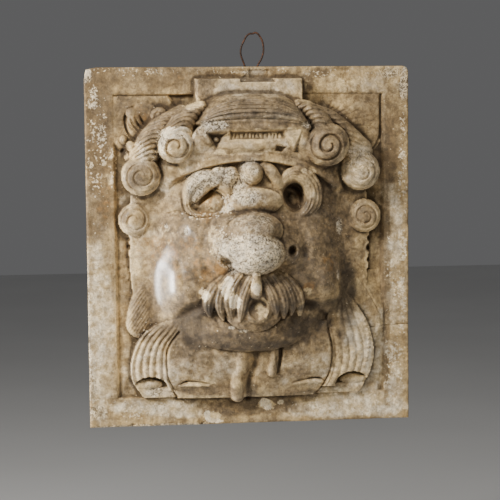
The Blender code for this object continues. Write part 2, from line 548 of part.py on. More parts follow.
def solid_from(bm, name, material, collection, smooth=False):
    bmesh.ops.recalc_face_normals(bm, faces=bm.faces)
    mesh = bpy.data.meshes.new(name)
    bm.to_mesh(mesh)
    bm.free()
    for face in mesh.polygons:
        face.use_smooth = smooth
    if material:
        mesh.materials.append(material)
    solid = bpy.data.objects.new(name, mesh)
    collection.objects.link(solid)
    return solid


def plain_material(name, colour, roughness, metallic=0.0):
    material = bpy.data.materials.new(name)
    material.use_nodes = True
    shader = material.node_tree.nodes["Principled BSDF"]
    shader.inputs["Base Color"].default_value = (*colour, 1.0)
    shader.inputs["Roughness"].default_value = roughness
    shader.inputs["Metallic"].default_value = metallic
    return material


def baked(solid):
    """The solid as its modifiers leave it, in place of the one they stood on."""
    graph = bpy.context.evaluated_depsgraph_get()
    mesh = bpy.data.meshes.new_from_object(solid.evaluated_get(graph))
    solid.modifiers.clear()
    solid.data = mesh
    mesh.name = solid.name
    return solid


def worn_outline(x, z):
    """Draws a place near an upper corner back onto the worn outline of the slab."""
    half, head = PANEL_WIDTH / 2, PANEL_HEIGHT / 2
    round_x, round_z = half - RIGHT_CORNER_RADIUS, head - RIGHT_CORNER_RADIUS
    if x > round_x and z > round_z:
        across, up = x - round_x, z - round_z
        pull = max(across, up) / math.hypot(across, up)
        x, z = round_x + across * pull, round_z + up * pull
    reach = max(x + half, head - z) / (3 * LEFT_CORNER_CHIP)
    if reach < 1.0:
        wear = LEFT_CORNER_CHIP / 2 * (1.0 - reach)
        x, z = x + wear, z - wear
    return x, z


def front_surface(collection, material):
    columns = round(PANEL_WIDTH / SHEET_CELL) + 1
    rows = round(PANEL_HEIGHT / SHEET_CELL) + 1
    heights = carved_sheet(columns, rows)
    bm = bmesh.new()
    bmesh.ops.create_grid(bm, x_segments=columns - 1, y_segments=rows - 1, size=0.5)
    for vertex in bm.verts:
        column = round((vertex.co.x + 0.5) * (columns - 1))
        row = round((vertex.co.y + 0.5) * (rows - 1))
        x, z = worn_outline(vertex.co.x * PANEL_WIDTH, vertex.co.y * PANEL_HEIGHT)
        vertex.co = (x, -SLAB_THICKNESS - heights[row, column], z)
    surface = solid_from(bm, "relief_panel", material, collection)
    thinning = surface.modifiers.new("thinning", "DECIMATE")
    thinning.ratio = RELIEF_FACETS / (4 * (columns - 1) * (rows - 1) / 2)
    return baked(surface)


def relief_panel(collection, cutters, material):
    panel = front_surface(collection, material)
    bm = bmesh.new()
    bm.from_mesh(panel.data)
    rim = [edge for edge in bm.edges if edge.is_boundary]
    for vertex in {vertex for edge in rim for vertex in edge.verts}:
        vertex.co.y = -SLAB_THICKNESS
    wall = bmesh.ops.extrude_edge_only(bm, edges=rim)["geom"]
    for vertex in (item for item in wall if isinstance(item, bmesh.types.BMVert)):
        vertex.co.y = 0.0
    back = [item for item in wall if isinstance(item, bmesh.types.BMEdge) and item.is_boundary]
    bmesh.ops.contextual_create(bm, geom=back)
    bmesh.ops.triangulate(bm, faces=[face for face in bm.faces if len(face.verts) > 3])
    bmesh.ops.recalc_face_normals(bm, faces=bm.faces)
    bm.to_mesh(panel.data)
    bm.free()
    for side in (-1, 1):
        socket = socket_cutter(side, cutters)
        cut = panel.modifiers.new("socket", "BOOLEAN")
        cut.operation = "DIFFERENCE"
        cut.solver = "EXACT"
        cut.object = socket
    return baked(panel)


def socket_cutter(side, collection):
    """A hole for one leg, a clearance wider and deeper than the wire in it."""
    bm = bmesh.new()
    depth = LEG_DEPTH + SOCKET_CLEARANCE
    above = WIRE_THICKNESS
    bmesh.ops.create_cone(bm, cap_ends=True, segments=2 * WIRE_SIDES, depth=depth + above,
                          radius1=WIRE_THICKNESS / 2 + 2 * SOCKET_CLEARANCE,
                          radius2=WIRE_THICKNESS / 2 + 2 * SOCKET_CLEARANCE)
    middle = Vector((WIRE_FROM_MIDDLE + side * LEG_SPACING / 2, -WIRE_FROM_BACK,
                     PANEL_HEIGHT / 2 + (above - depth) / 2))
    bmesh.ops.transform(bm, matrix=Matrix.Translation(middle), verts=bm.verts)
    cutter = solid_from(bm, "socket_cutter", None, collection)
    cutter.hide_render = True
    cutter.display_type = "WIRE"
    return cutter


def eye_route():
    """The bent wire from foot to foot, over the top of the slab."""
    leg, wide, rise = LEG_SPACING / 2, EYE_WIDTH / 2, EYE_RISE
    shape = [(-leg, -LEG_DEPTH), (-leg, -LEG_DEPTH / 2), (-leg, 0.0),
             (-leg - 0.2 * (wide - leg), 0.1 * rise), (-0.90 * wide, 0.45 * rise),
             (-0.62 * wide, 0.75 * rise), (-0.15 * wide, 0.96 * rise),
             (0.22 * wide, 0.975 * rise), (0.38 * wide, rise), (0.85 * wide, 0.86 * rise),
             (1.10 * wide, 0.55 * rise), (0.95 * wide, 0.28 * rise),
             (leg + 0.15 * (wide - leg), 0.06 * rise), (leg, 0.0), (leg, -LEG_DEPTH / 2), (leg, -LEG_DEPTH)]
    return [Vector((WIRE_FROM_MIDDLE + x, -WIRE_FROM_BACK, PANEL_HEIGHT / 2 + z)) for x, z in shape]


def hanging_wire(collection, material):
    curve = bpy.data.curves.new("hanging_wire", "CURVE")
    curve.dimensions = "3D"
    curve.bevel_depth = WIRE_THICKNESS / 2
    curve.bevel_resolution = WIRE_SIDES // 4
    curve.resolution_u = WIRE_STEPS
    curve.use_fill_caps = True
    spline = curve.splines.new("BEZIER")
    route = eye_route()
    spline.bezier_points.add(len(route) - 1)
    for point, place in zip(spline.bezier_points, route):
        point.co = place
        point.handle_left_type = point.handle_right_type = "AUTO"
    bent = bpy.data.objects.new("wire_route", curve)
    bpy.context.scene.collection.objects.link(bent)
    graph = bpy.context.evaluated_depsgraph_get()
    mesh = bpy.data.meshes.new_from_object(bent.evaluated_get(graph))
    bpy.data.objects.remove(bent)
    bm = bmesh.new()
    bm.from_mesh(mesh)
    bmesh.ops.remove_doubles(bm, verts=bm.verts, dist=0.00002)
    return solid_from(bm, "hanging_wire", material, collection, smooth=True)


def build():
    for leftover in list(bpy.data.objects):
        bpy.data.objects.remove(leftover)
    parts = fresh_collection("plaster_relief_panel")
    cutters = fresh_collection("cutters")
    cutters.hide_render = True
    plaster = plain_material("plaster", (0.60, 0.53, 0.42), 0.75)
    iron = plain_material("rusty_wire", (0.05, 0.035, 0.028), 0.6, 0.6)
    relief_panel(parts, cutters, plaster)
    hanging_wire(parts, iron)


build()
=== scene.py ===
# %% [markdown]
# A plaster relief panel, cell by cell
#
# The object is a cast slab of plaster, a little over 40 cm wide. A plain border frames a sunk
# field, and out of the field swells a grotesque mask with a banded helmet, rolled hair, a
# moustache and a wide collar. A bent iron wire at the top carries it. The packed model already
# holds the true sizes, so this script loads it first and then builds only what the eye sees:
# the finely carved clay surface, the wire, their finishes, the light and the camera.

# %% Load the packed frame and note its box
import math

import bmesh
import bpy
import numpy as np
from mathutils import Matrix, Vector


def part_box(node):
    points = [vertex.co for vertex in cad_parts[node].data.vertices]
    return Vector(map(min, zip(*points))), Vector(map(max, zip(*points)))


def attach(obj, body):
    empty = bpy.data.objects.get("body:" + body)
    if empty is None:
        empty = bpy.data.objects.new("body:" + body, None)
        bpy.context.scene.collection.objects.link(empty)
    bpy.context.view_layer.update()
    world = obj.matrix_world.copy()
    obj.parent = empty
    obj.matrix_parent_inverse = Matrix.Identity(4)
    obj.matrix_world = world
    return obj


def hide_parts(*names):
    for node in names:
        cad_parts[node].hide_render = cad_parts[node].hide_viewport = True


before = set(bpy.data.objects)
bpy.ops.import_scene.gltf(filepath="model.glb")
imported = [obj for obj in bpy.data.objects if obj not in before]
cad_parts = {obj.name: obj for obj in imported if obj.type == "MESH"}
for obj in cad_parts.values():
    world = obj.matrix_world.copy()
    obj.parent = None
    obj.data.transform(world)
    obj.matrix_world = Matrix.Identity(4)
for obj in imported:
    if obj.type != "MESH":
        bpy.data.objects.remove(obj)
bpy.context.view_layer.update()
panel_low, panel_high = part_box("relief_panel")
wire_low, wire_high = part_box("hanging_wire")
print("panel from", [round(v, 4) for v in panel_low], "to", [round(v, 4) for v in panel_high])

# %% [markdown]
# The ruled sheet
#
# A relief is a surface that can be described by one height over every point of the slab. So
# the carving is drawn on a ruled sheet, in millimetres: x runs to the right, z up, and the
# height counts outward from the face of the border. Two factors fit the sheet to the panel
# that was loaded, so the drawing keeps its proportions if the panel's size changes.

# %% Sizes of the slab and of the sheet drawn on it
PANEL_WIDTH = panel_high[0] - panel_low[0]
PANEL_HEIGHT = panel_high[2] - panel_low[2]
SLAB_THICKNESS = 0.040
BORDER_SIDE = 0.0345
BORDER_TOP = 0.0335
BORDER_FOOT = 0.0355
SHEET_HALF = 168.0
SHEET_FOOT = -188.0
SHEET_HEAD = 190.0
SHEET_PEAK = 106.0
FIELD_SINK = 6.0
SHEET_ACROSS = (PANEL_WIDTH - 2 * BORDER_SIDE) / (2 * SHEET_HALF)
SHEET_UP = (PANEL_HEIGHT - BORDER_TOP - BORDER_FOOT) / (SHEET_HEAD - SHEET_FOOT)
SHEET_OUT = (-panel_low[1] - SLAB_THICKNESS) / SHEET_PEAK
FAR_BELOW = -1000.0
print("metres per sheet unit:", round(SHEET_ACROSS, 6), round(SHEET_UP, 6), round(SHEET_OUT, 6))

# %% [markdown]
# How two lumps of clay meet
#
# A modeller presses one lump of clay onto another and smooths the seam with a thumb. The
# smooth maximum does the same with numbers: it takes the higher of two surfaces and rounds
# the crease between them over a chosen height. Ridges turn a steadily rising number into
# rounded strands with narrow grooves between them.

# %% Blending, easing and ridges
def smooth_max(low, high, blend):
    mix = np.clip(0.5 + 0.5 * (high - low) / blend, 0.0, 1.0)
    return low * (1.0 - mix) + high * mix + blend * mix * (1.0 - mix)


def ease(value):
    value = np.clip(value, 0.0, 1.0)
    return value * value * (3.0 - 2.0 * value)


def ridges(phase):
    """0 on the crest of each rounded ridge, -1 in the groove between two."""
    return np.abs(np.sin(np.pi * phase)) ** 0.8 - 1.0


print("ease and ridges at a half:", ease(0.5), ridges(0.5))


# %% [markdown]
# Curves through a few points
#
# Most of the carving follows a line: a lock of hair, a fold, the roll of the neck. A few
# points with a width and a level each are enough, if a smooth curve is laid through them.
# This kind of curve passes through every point that it is given, so a point can be read
# straight off the object.

# %% A smooth curve through given points
def mirrored(points, side):
    return [(side * point[0],) + tuple(point[1:]) for point in points]


def curve_through(points, step=1.5):
    """A smooth curve through the points; whatever else a point carries goes along."""
    points = np.array(points, float)
    knots = np.vstack([2 * points[0] - points[1], points, 2 * points[-1] - points[-2]])
    pieces = []
    for before, start, end, after in zip(knots, knots[1:], knots[2:], knots[3:]):
        count = max(2, int(np.hypot(*(end - start)[:2]) / step))
        t = (np.arange(count) / count)[:, None]
        pieces.append(0.5 * (2 * start + (end - before) * t
                             + (2 * before - 5 * start + 4 * end - after) * t ** 2
                             + (3 * start - before - 3 * end + after) * t ** 3))
    return np.vstack(pieces + [points[-1:]])


print("points on a test curve:", len(curve_through([(0, 0, 1), (10, 4, 1), (20, 0, 1)])))


# %% [markdown]
# The sheet of clay and its flat facets
#
# The sheet holds one height for each crossing of its ruled lines. Clay is pressed on with
# raise_to and cut away with cut_to, always inside a small window, which keeps it quick. The
# first tool is the plate, a flat facet with straight edges and sloping sides, for the block,
# the cut triangles and the sunk band.

# %% The sheet, and plates pressed on it
SLOPE_REACH = 6.0


class Sheet:
    """A sheet of clay: a height over every crossing of its ruled lines."""

    def __init__(self, x, z):
        self.x = x
        self.z = z
        self.height = np.zeros((z.size, x.size))

    def window(self, left, right, low, high):
        columns = slice(*np.searchsorted(self.x, (left, right)))
        rows = slice(*np.searchsorted(self.z, (low, high)))
        x, z = np.meshgrid(self.x[columns], self.z[rows])
        return (rows, columns), x, z

    def raise_to(self, area, value, blend):
        self.height[area] = smooth_max(self.height[area], value, blend)

    def cut_to(self, area, value, blend):
        self.height[area] = -smooth_max(-self.height[area], -value, blend)

    def plate(self, corners, level, draft, blend=0.8, lean=0.0, sunk=False):
        """A flat facet with straight edges; its corners run anticlockwise."""
        corners = np.array(corners, float)
        (left, low), (right, high) = corners.min(0) - SLOPE_REACH, corners.max(0) + SLOPE_REACH
        area, gx, gz = self.window(left, right, low, high)
        outside = np.full(gx.shape, FAR_BELOW)
        for (ax, az), (bx, bz) in zip(corners, np.roll(corners, -1, axis=0)):
            gap = ((bz - az) * (gx - ax) - (bx - ax) * (gz - az)) / np.hypot(bx - ax, bz - az)
            outside = np.maximum(outside, gap)
        value = level + lean * (gz - corners[:, 1].mean())
        if sunk:
            self.cut_to(area, value + np.maximum(outside, 0.0) * draft, blend)
        else:
            self.raise_to(area, value - np.maximum(outside, 0.0) * draft, blend)


print("clay tools:", [name for name in vars(Sheet) if not name.startswith("_")])


# %% [markdown]
# Round bosses and hollows
#
# Round lumps, such as the boss of the brow, the bulb of the nose or a drilled hole, are
# ovals with a chosen fall towards the rim. A dome adds clay, a hollow cuts it, and a swell
# lifts whatever is already there, as a cheek lifts the skin over it.

# %% Ovals: swell, dome and hollow
class RoundForms(Sheet):
    """Round bosses and hollows in the clay."""

    def oval(self, x, z, rx, rz, turn, reach=1.0):
        """The window round an oval, the way up its length, and the way out from its middle."""
        size = max(rx, rz) * reach
        area, gx, gz = self.window(x - size, x + size, z - size, z + size)
        across = ((gx - x) * np.cos(turn) + (gz - z) * np.sin(turn)) / rx
        along = ((gz - z) * np.cos(turn) - (gx - x) * np.sin(turn)) / rz
        return area, along, np.hypot(across, along)

    def swell(self, x, z, rx, rz, rise, turn=0.0):
        area, _, r = self.oval(x, z, rx, rz, turn)
        self.height[area] += rise * np.clip(1.0 - r * r, 0.0, 1.0) ** 2

    def dome(self, x, z, rx, rz, top, fall, power=2.0, blend=4.0, lean=0.0, turn=0.0):
        area, along, r = self.oval(x, z, rx, rz, turn)
        value = top - fall * r ** power + lean * along
        self.raise_to(area, np.where(r < 1.0, value, FAR_BELOW), blend)

    def hollow(self, x, z, rx, rz, bottom, rise, blend=3.0, turn=0.0):
        area, _, r = self.oval(x, z, rx, rz, turn, 1.5)
        self.cut_to(area, bottom + rise * r * r, blend)


print("clay tools:", [name for name in vars(RoundForms) if not name.startswith("_")])


# %% [markdown]
# Rolls, grooves and curls
#
# A roll is a sausage of clay along a curve, its back scored across into coils or lengthwise
# into strands. A groove is the same walk with a gouge. A curl is a disc with a groove that
# winds outward from its middle, its distance given at each quarter turn, because the hand
# that cut these curls didn't keep to an even spiral.

# %% Forms that follow a curve
class Clay(RoundForms):
    """Forms that follow a curve over the clay."""

    def along(self, points):
        """Every place near the curve, in terms of the curve: how far along, how far aside."""
        curve = curve_through(points)
        margin = curve[:, 2].max() + 1.0
        left, low = curve[:, :2].min(0) - margin
        right, high = curve[:, :2].max(0) + margin
        area, gx, gz = self.window(left, right, low, high)
        tangent = np.gradient(curve[:, :2], axis=0)
        tangent /= np.hypot(*tangent.T)[:, None]
        walk = np.append(0.0, np.cumsum(np.hypot(*np.diff(curve[:, :2], axis=0).T)))
        near = ((gx[..., None] - curve[:, 0]) ** 2 + (gz[..., None] - curve[:, 1]) ** 2).argmin(-1)
        dx, dz = gx - curve[near, 0], gz - curve[near, 1]
        way = walk[near] + dx * tangent[near, 0] + dz * tangent[near, 1]
        aside = dz * tangent[near, 0] - dx * tangent[near, 1]
        half = np.interp(way, walk, curve[:, 2])
        level = np.interp(way, walk, curve[:, 3])
        beyond = np.maximum(way - walk[-1], 0.0) + np.maximum(-way, 0.0)
        return area, way, aside / half, np.hypot(aside, beyond) / half, half, level

    def roll(self, points, fall, blend=2.0, pitch=0.0, rib=0.0, slant=0.0, bow=0.0, strands=0,
             strand=0.0):
        """A sausage of clay, its back scored across by ribs or lengthwise into strands."""
        area, way, aside, r, half, level = self.along(points)
        value = level - fall * (1.0 - np.sqrt(np.clip(1.0 - r * r, 0.0, 1.0)))
        if pitch:
            value += rib * ridges((way + half * (slant * aside + bow * aside ** 2)) / pitch)
        if strands:
            value += strand * ridges((aside + 1.0) * 0.5 * strands)
        self.raise_to(area, np.where(r < 1.0, value, FAR_BELOW), blend)

    def groove(self, points):
        area, _, _, r, _, level = self.along(points)
        self.height[area] -= level * ease(1.0 - r)

    def curl(self, x, z, radius, top, fall, start, hand, reaches, depth, squash=1.0, turn=0.0):
        """A disc with a groove that winds outward, its reaches given for each quarter turn."""
        area, _, r = self.oval(x, z, radius, radius * squash, turn)
        self.raise_to(area, np.where(r < 1.0, top - fall * r ** 3, FAR_BELOW), 1.5)
        quarters = np.arange(0.0, len(reaches) - 0.9, 0.25)
        reach = radius * np.interp(quarters, np.arange(len(reaches)), reaches)
        angle = start + hand * quarters * np.pi / 2
        u, v = reach * np.cos(angle), reach * squash * np.sin(angle)
        right = x + u * np.cos(turn) - v * np.sin(turn)
        up = z + u * np.sin(turn) + v * np.cos(turn)
        taper = 0.4 + 0.6 * np.sin(np.pi * np.arange(quarters.size) / (quarters.size - 1)) ** 0.5
        gouge = 1.4 + 0.35 * depth
        self.groove(np.stack([right, up, gouge * taper, depth * taper], -1))


print("clay tools:", [name for name in vars(Clay) if not name.startswith("_")])


# %% [markdown]
# The sheet is laid out
#
# Lines a millimetre apart are close enough for every strand that shows, and keep the mesh
# small enough to handle. From here on each cell presses or cuts one form of the carving into
# the clay, in the order in which the forms lie over each other, and says how high it stands.

# %% An empty sheet over the whole slab
COLUMNS = 407
ROWS = 449
sheet_x = np.linspace(panel_low[0], panel_high[0], COLUMNS) / SHEET_ACROSS
sheet_z = SHEET_FOOT + (np.linspace(0.0, PANEL_HEIGHT, ROWS) - BORDER_FOOT) / SHEET_UP
clay = Clay(sheet_x, sheet_z)
print("ruled sheet:", COLUMNS, "by", ROWS, "lines")


def shaped(form):
    form(clay)
    low, high = clay.height.min(), clay.height.max()
    print(f"{form.__name__.replace('_', ' ')}: clay now from {low:.1f} to {high:.1f} mm")


# %% [markdown]
# The sunk field
#
# Inside the border the ground lies a few millimetres lower, with a crisp edge at the top and
# the foot and a slower cove at the sides. An outline could be drawn and cut out, but a rule
# of distance from the field's edges needs none, and it gives each side its own slope.

# %% Shape: the sunk field
def sunk_field(sheet):
    x, z = np.meshgrid(sheet.x, sheet.z)
    right_cove = (SHEET_HALF + 3.0 - x) * 0.5
    left_cove = (x + SHEET_HALF) * 0.4
    inside = np.minimum.reduce([left_cove, right_cove, z - SHEET_FOOT, SHEET_HEAD - z])
    sheet.height -= FIELD_SINK * ease(inside / 2.6 + 0.2)


shaped(sunk_field)


# %% [markdown]
# Leaves in the upper corners
#
# Behind the hair, the left corner holds a low plate with a scooped shell and a knob, the
# right corner a worn leaf with fine veins. Separate leaves laid on would show a hard rim,
# and these are worn flat, so plates, swells and grooves in the same sheet suit them better.
# They lie lowest and are pressed on first.

# %% Shape: leaves in the upper corners
def corner_leaves(sheet):
    # left: a low plate with a slanting end, on it a scooped shell with a knob
    sheet.plate([(-171, 136), (-150, 118), (-88, 160), (-88, 168), (-101, 187), (-171, 187)],
                -0.8, 1.2)
    sheet.swell(-140, 176, 34, 18, 2.5)
    sheet.dome(-130, 154, 25, 26, 7, 6, 2.2, 2.5)
    sheet.groove([(-141, 176, 2.0, 1.5), (-149, 170, 2.8, 5), (-153, 157, 3.2, 7),
                  (-149, 142, 3, 6), (-139, 131, 2.4, 2.5)])
    sheet.hollow(-131, 153, 15, 19, 2, 6, 2.0, turn=0.5)
    sheet.dome(-145, 167, 7, 7, 7, 4, 2.0, 3)
    for right, up in ((-151, 159.5), (-146.4, 160), (-141, 162), (-135, 164.5)):
        sheet.groove([(right, up, 1.5, 1.5), (right + 4, up - 8.5, 2.1, 3.6),
                      (right + 11, up - 16, 1.6, 1.5)])
    sheet.curl(-111, 163.5, 11, 14, 5, 0.0, 1, (0.2, 0.4, 0.55, 0.65, 0.7), 2.0)
    # right: a worn low leaf that fills its corner, with fine veins spreading from behind the hair
    sheet.plate([(64, 176), (120, 140), (148, 121), (158, 121), (165, 129), (165, 189), (64, 189)],
                -1.5, 1.5, 1.0)
    sheet.swell(128, 160, 40, 34, 3)
    for k in range(10):
        turn = math.radians(-38 + 11.5 * k)
        right, up = math.cos(turn), math.sin(turn)
        far = (66, 70, 72, 72, 66, 52, 44, 38, 35, 34)[k]
        sheet.groove([(92 + reach * right, 152 + reach * up, 1.9, depth)
                      for reach, depth in ((22, 0.5), (0.64 * far, 0.8), (far, 0.3))])
    sheet.groove([(166, 186, 2.0, 1), (167, 160, 2.0, 2), (166, 136, 2.4, 3), (158, 121, 2.6, 3.5),
                  (148, 119, 2.2, 2)])


shaped(corner_leaves)


# %% [markdown]
# Thin flaps beside the cheeks
#
# The cheeks run out sideways into thin flaps with a few long creases and a row of drilled
# holes at the outer edge, where the background was cut away between leaf ends. A flap could
# be a thin solid of its own. In the sheet it is one rule, a height that falls outward, and
# the holes are hollows cut through it, as the drill cut them.

# %% Shape: thin flaps beside the cheeks
def side_flaps(sheet):
    for side in (-1, 1):
        area, x, z = sheet.window(-155, 155, -104, 84)
        u = side * x
        fall = np.clip((u - 98) / 54, 0, 1)
        value = 19 - 15 * fall ** 1.2 - 3 * np.clip((-z - 20) / 60, 0, 1)
        edge = 151 - 0.0010 * (z - 8) ** 2
        inside = (u > 90) & (u < edge)
        sheet.raise_to(area, np.where(inside, value, FAR_BELOW), 2.0)
        for k in range(4):
            depth = 0.55 + 0.35 * side
            vein = [(118, 12 - 14 * k, 2.0, 0.3 * depth), (133, 9 - 15 * k, 2.4, 1.3 * depth),
                    (147, 2 - 14 * k, 2.0, 0.6 * depth)]
            sheet.groove(mirrored(vein, side))
    # drilled holes along the outer edges
    for z, r in ((8, 3.2), (-4, 4.6), (-19, 3.6), (-33, 3.8), (-46, 2.8), (-56, 3.0)):
        sheet.hollow(151.5, z, r * 0.75, r, -10, 9, 1.0)
    for z, r in ((12, 3.2), (2, 4.6), (-11, 2.4), (-24, 2.6), (-40, 2.8)):
        sheet.hollow(-151.5, z, r * 0.6, r, -9, 9, 1.0)


shaped(side_flaps)


# %% [markdown]
# The broad face
#
# The face is one wide crowned shield. It could be sculpted with a brush, but a rule and a few
# named forms can be measured, changed and built again. Swells raise each cheek, and soft
# grooves turn the cheek under and lead from the wing of the nose round the mouth.

# %% Shape: the broad face
def face(sheet):
    area, x, z = sheet.window(-123, 121, -126, 110)
    r = np.clip(np.abs(x + 1) / 121.0, 0, 1)
    value = 10 + 41 * (1 - r ** 2.5)
    value -= 7 * np.clip((z - 45) / 55, 0, 1) ** 1.5 + 18 * np.clip((-z - 58) / 62, 0, 1) ** 1.6
    sheet.raise_to(area, np.where(r < 1, value, FAR_BELOW), 5.0)
    for side in (-1, 1):
        sheet.swell(side * 70 - 1, -22, 60, 74, 13)
        sheet.swell(side * 92, -46, 34, 44, 7)
        sheet.swell(side * 82, 16, 30, 26, 3)
        sheet.swell(side * 100, -42, 26, 44, 4)
        # crease where the cheek turns under onto the neck
        sheet.groove(mirrored([(56, -62, 8, 4), (80, -76, 11, 6.5), (100, -92, 8, 4)], side))
        # fold from the wing of the nose round the mouth
        fold = [(50, 40, 9, 1), (59, 18, 11, 2.6), (62, -4, 12, 3), (56, -26, 11, 2)]
        sheet.groove(mirrored(fold, side))
    sheet.swell(64, 1, 9, 6, -2.2)
    sheet.swell(72, -66, 16, 12, -5)
    sheet.groove([(-102, 45, 1.8, 2), (-92, 48, 2.2, 2.6), (-86, 46, 1.8, 1.5)])
    sheet.groove([(-104, 39, 1.6, 1), (-94, 42, 2, 2), (-88, 40, 1.6, 1)])


shaped(face)


# %% [markdown]
# The helmet over the brow
#
# A banded cap sits on the face and ends in a brim, a shallow arch over the eyes. Turned on a
# lathe it would come out too even. So its height follows a rule across the width, and the
# bands are ridges counted upward from the brim, which keeps them parallel to it.

# %% Shape: the helmet over the brow
def brim_edge(x):
    return 108.5 - (x + 4) ** 2 / 385.0


def helmet(sheet):
    area, x, z = sheet.window(-122, 122, 40, 158)
    side = np.abs(x) / 118.0
    body = 53 - 30 * side ** 2.4 - 12 * np.clip((np.abs(x) - 98) / 22, 0, 1) ** 2
    above = z - brim_edge(x)
    near = np.clip((102 - np.abs(x)) / 30, 0, 1)
    banded = (above > 5.5) & (above < 23.5)
    bands = (0.9 + 1.1 * ease((x + 75) / 60)) * ridges((above - 1.0) / 9.0) * near * banded
    under = np.clip(-above, 0, 60) * (0.8 + 3.7 * near)
    tuck = 8 * np.clip((z - 150 + 0.45 * np.abs(x)) / 30, 0, 1) * (np.abs(x) > 60)
    value = np.where((np.abs(x) < 121) & (above > -30), body + bands - under - tuck, FAR_BELOW)
    sheet.raise_to(area, value, 2.5)


shaped(helmet)


# %% [markdown]
# The block at the top
#
# A plain block stands out of the top border behind the hair, as an ornament's carrier does.
# A cube joined to the slab would leave a seam to clean up, so it is a single plate with
# steep sides in the same sheet.

# %% Shape: the block at the top
def top_block(sheet):
    sheet.plate([(-66, 172), (64, 172), (64, 207.5), (-66, 207.5)], 25, 14.0, 1.0)


shaped(top_block)


# %% [markdown]
# A notch over the block
#
# Over the block the border has a shallow notch with one slanting end, cut after casting. Two
# sunk plates, one square and one a triangle, do what a Boolean cut would do, and can't fail.

# %% Shape: a notch over the block
def notch(sheet):
    sheet.plate([(2, 210.5), (25, 210.5), (25, 219), (2, 219)], -2.4, 2.0, sunk=True)
    sheet.plate([(-6, 210.5), (2, 210.5), (2, 218)], -1.2, 1.0, sunk=True)


shaped(notch)


# %% [markdown]
# Rolled hair
#
# On each side two rolls of hair come down from the block like twisted rope and end in curls,
# with a smaller curl by the cheek. Single strands would be too fine for clay. Here the back of
# a roll is scored by slanting ridges that bow, which is what makes a sausage of clay read as
# a coil of thick strands.

# %% Shape: rolled hair
def hair_rolls(sheet):
    # behind on each side, then in front
    sheet.roll([(-84, 165, 12, 30), (-106, 150, 15, 36), (-122, 134, 16, 37), (-132, 112, 18, 35)],
               20, 2.0, pitch=7.9, rib=3.4, slant=1.0, bow=-0.6)
    sheet.roll([(84, 166, 10, 28), (98, 158, 12, 33), (116, 143, 13, 36), (134, 118, 19, 37)], 20,
               2.0, pitch=9.5, rib=2.6, slant=-1.5, bow=0.2)
    sheet.roll([(-60, 174, 8, 44), (-72, 166, 12, 49), (-84, 154, 15.5, 54), (-93, 138, 18, 58)],
               22, 2.0, pitch=7.1, rib=3.8, slant=0.75, bow=-0.7)
    sheet.roll([(58, 175, 8, 44), (69, 170, 11, 49), (82, 157, 13, 54), (90, 140, 16, 57)], 22,
               2.0, pitch=7.1, rib=3.6, slant=-0.75, bow=-0.5)
    sheet.curl(-94.2, 126.5, 21, 63, 11, -1.4, 1, (0.12, 0.22, 0.45, 0.62, 0.66, 0.66, 0.8),
               4.6, 0.96, 0.4)
    sheet.curl(90.8, 126.4, 27.5, 63, 14, 0.2, -1, (0.1, 0.22, 0.36, 0.4, 0.5, 0.6, 0.74, 0.8),
               4.6, 0.95, 0.6)
    even = (0.2, 0.3, 0.42, 0.5, 0.58, 0.66, 0.74, 0.8, 0.84)
    sheet.curl(-135.5, 90.5, 24, 40, 12, 0.6, 1, even, 2.2)
    sheet.curl(135.5, 94, 24.5, 42, 13, 2.4, -1, even, 2.4)
    sheet.curl(-143.5, 36, 20, 19, 8, 0.6, 1, (0.2, 0.35, 0.5, 0.6, 0.7, 0.78, 0.84), 2.2)
    sheet.curl(143.5, 37, 21, 21, 9, 2.4, -1, (0.15, 0.26, 0.38, 0.46, 0.54, 0.62, 0.7, 0.76, 0.82),
               2.4)
    # ragged leaf ends between the left roll and the border
    for x, z, r, top in ((-146, 126, 6, 22), (-150, 113, 5, 14), (-139, 121, 5, 27),
                         (-155, 134, 5, 8)):
        sheet.dome(x, z, r, r * 1.3, top, 7, 2.2, 1.0, turn=0.6)
    sheet.hollow(-157, 120, 4, 5, -8, 8, 1.0)


shaped(hair_rolls)


# %% [markdown]
# The front of the hair
#
# Over the brow the hair is combed into long arching strands, thick in the middle and dying
# out at the sides. Rolls laid side by side would gape where the arch narrows, so one rule
# gives the body, and the strands are ridges counted from its foot to its arch. Above the arch
# the clay is scooped back to the block.

# %% Shape: the front of the hair
def hair_front(sheet):
    area, x, z = sheet.window(-82, 82, 140, 204)
    side = np.abs(x / 70)
    arch = 184 - 30 * side ** 3
    foot = 152.5 + 3 * np.cos(np.clip(x / 62, -1, 1) * np.pi / 2)
    t = (z - foot) / np.maximum(arch - foot, 6.0)
    body = 46 + 18 * np.sin(np.pi * (0.30 + 0.58 * np.clip(t, -0.2, 1.0)))
    body -= 9 * side ** 4 + 12 * ease((side - 0.82) / 0.22)
    depth = 1.2 + 2.6 * np.clip((arch - foot) / 30, 0, 1)
    strands = depth * ridges(3.7 * t + 1.8 * t ** 2 + 0.5) * ((t > 0) & (t < 1.0))
    cove = 3.6 * np.clip(np.where(t > 1, (z - arch) / (1 + 1.1 * side ** 2), 0), 0, 30)
    value = np.where((t > -0.2) & (side < 1.0 + 0.04 * t), body + strands - cove, FAR_BELOW)
    sheet.raise_to(area, value, 1.5)


shaped(hair_front)


# %% [markdown]
# The band under the hair
#
# A thick lip rolls round a sunk band. The band carries a row of shallow upright strokes that
# spell nothing. Below it run a smooth bar and small facets, two cut in and one standing out.
# What is round here is a roll along a curve and what is flat a plate, and each is made with
# the tool that leaves that kind of surface.

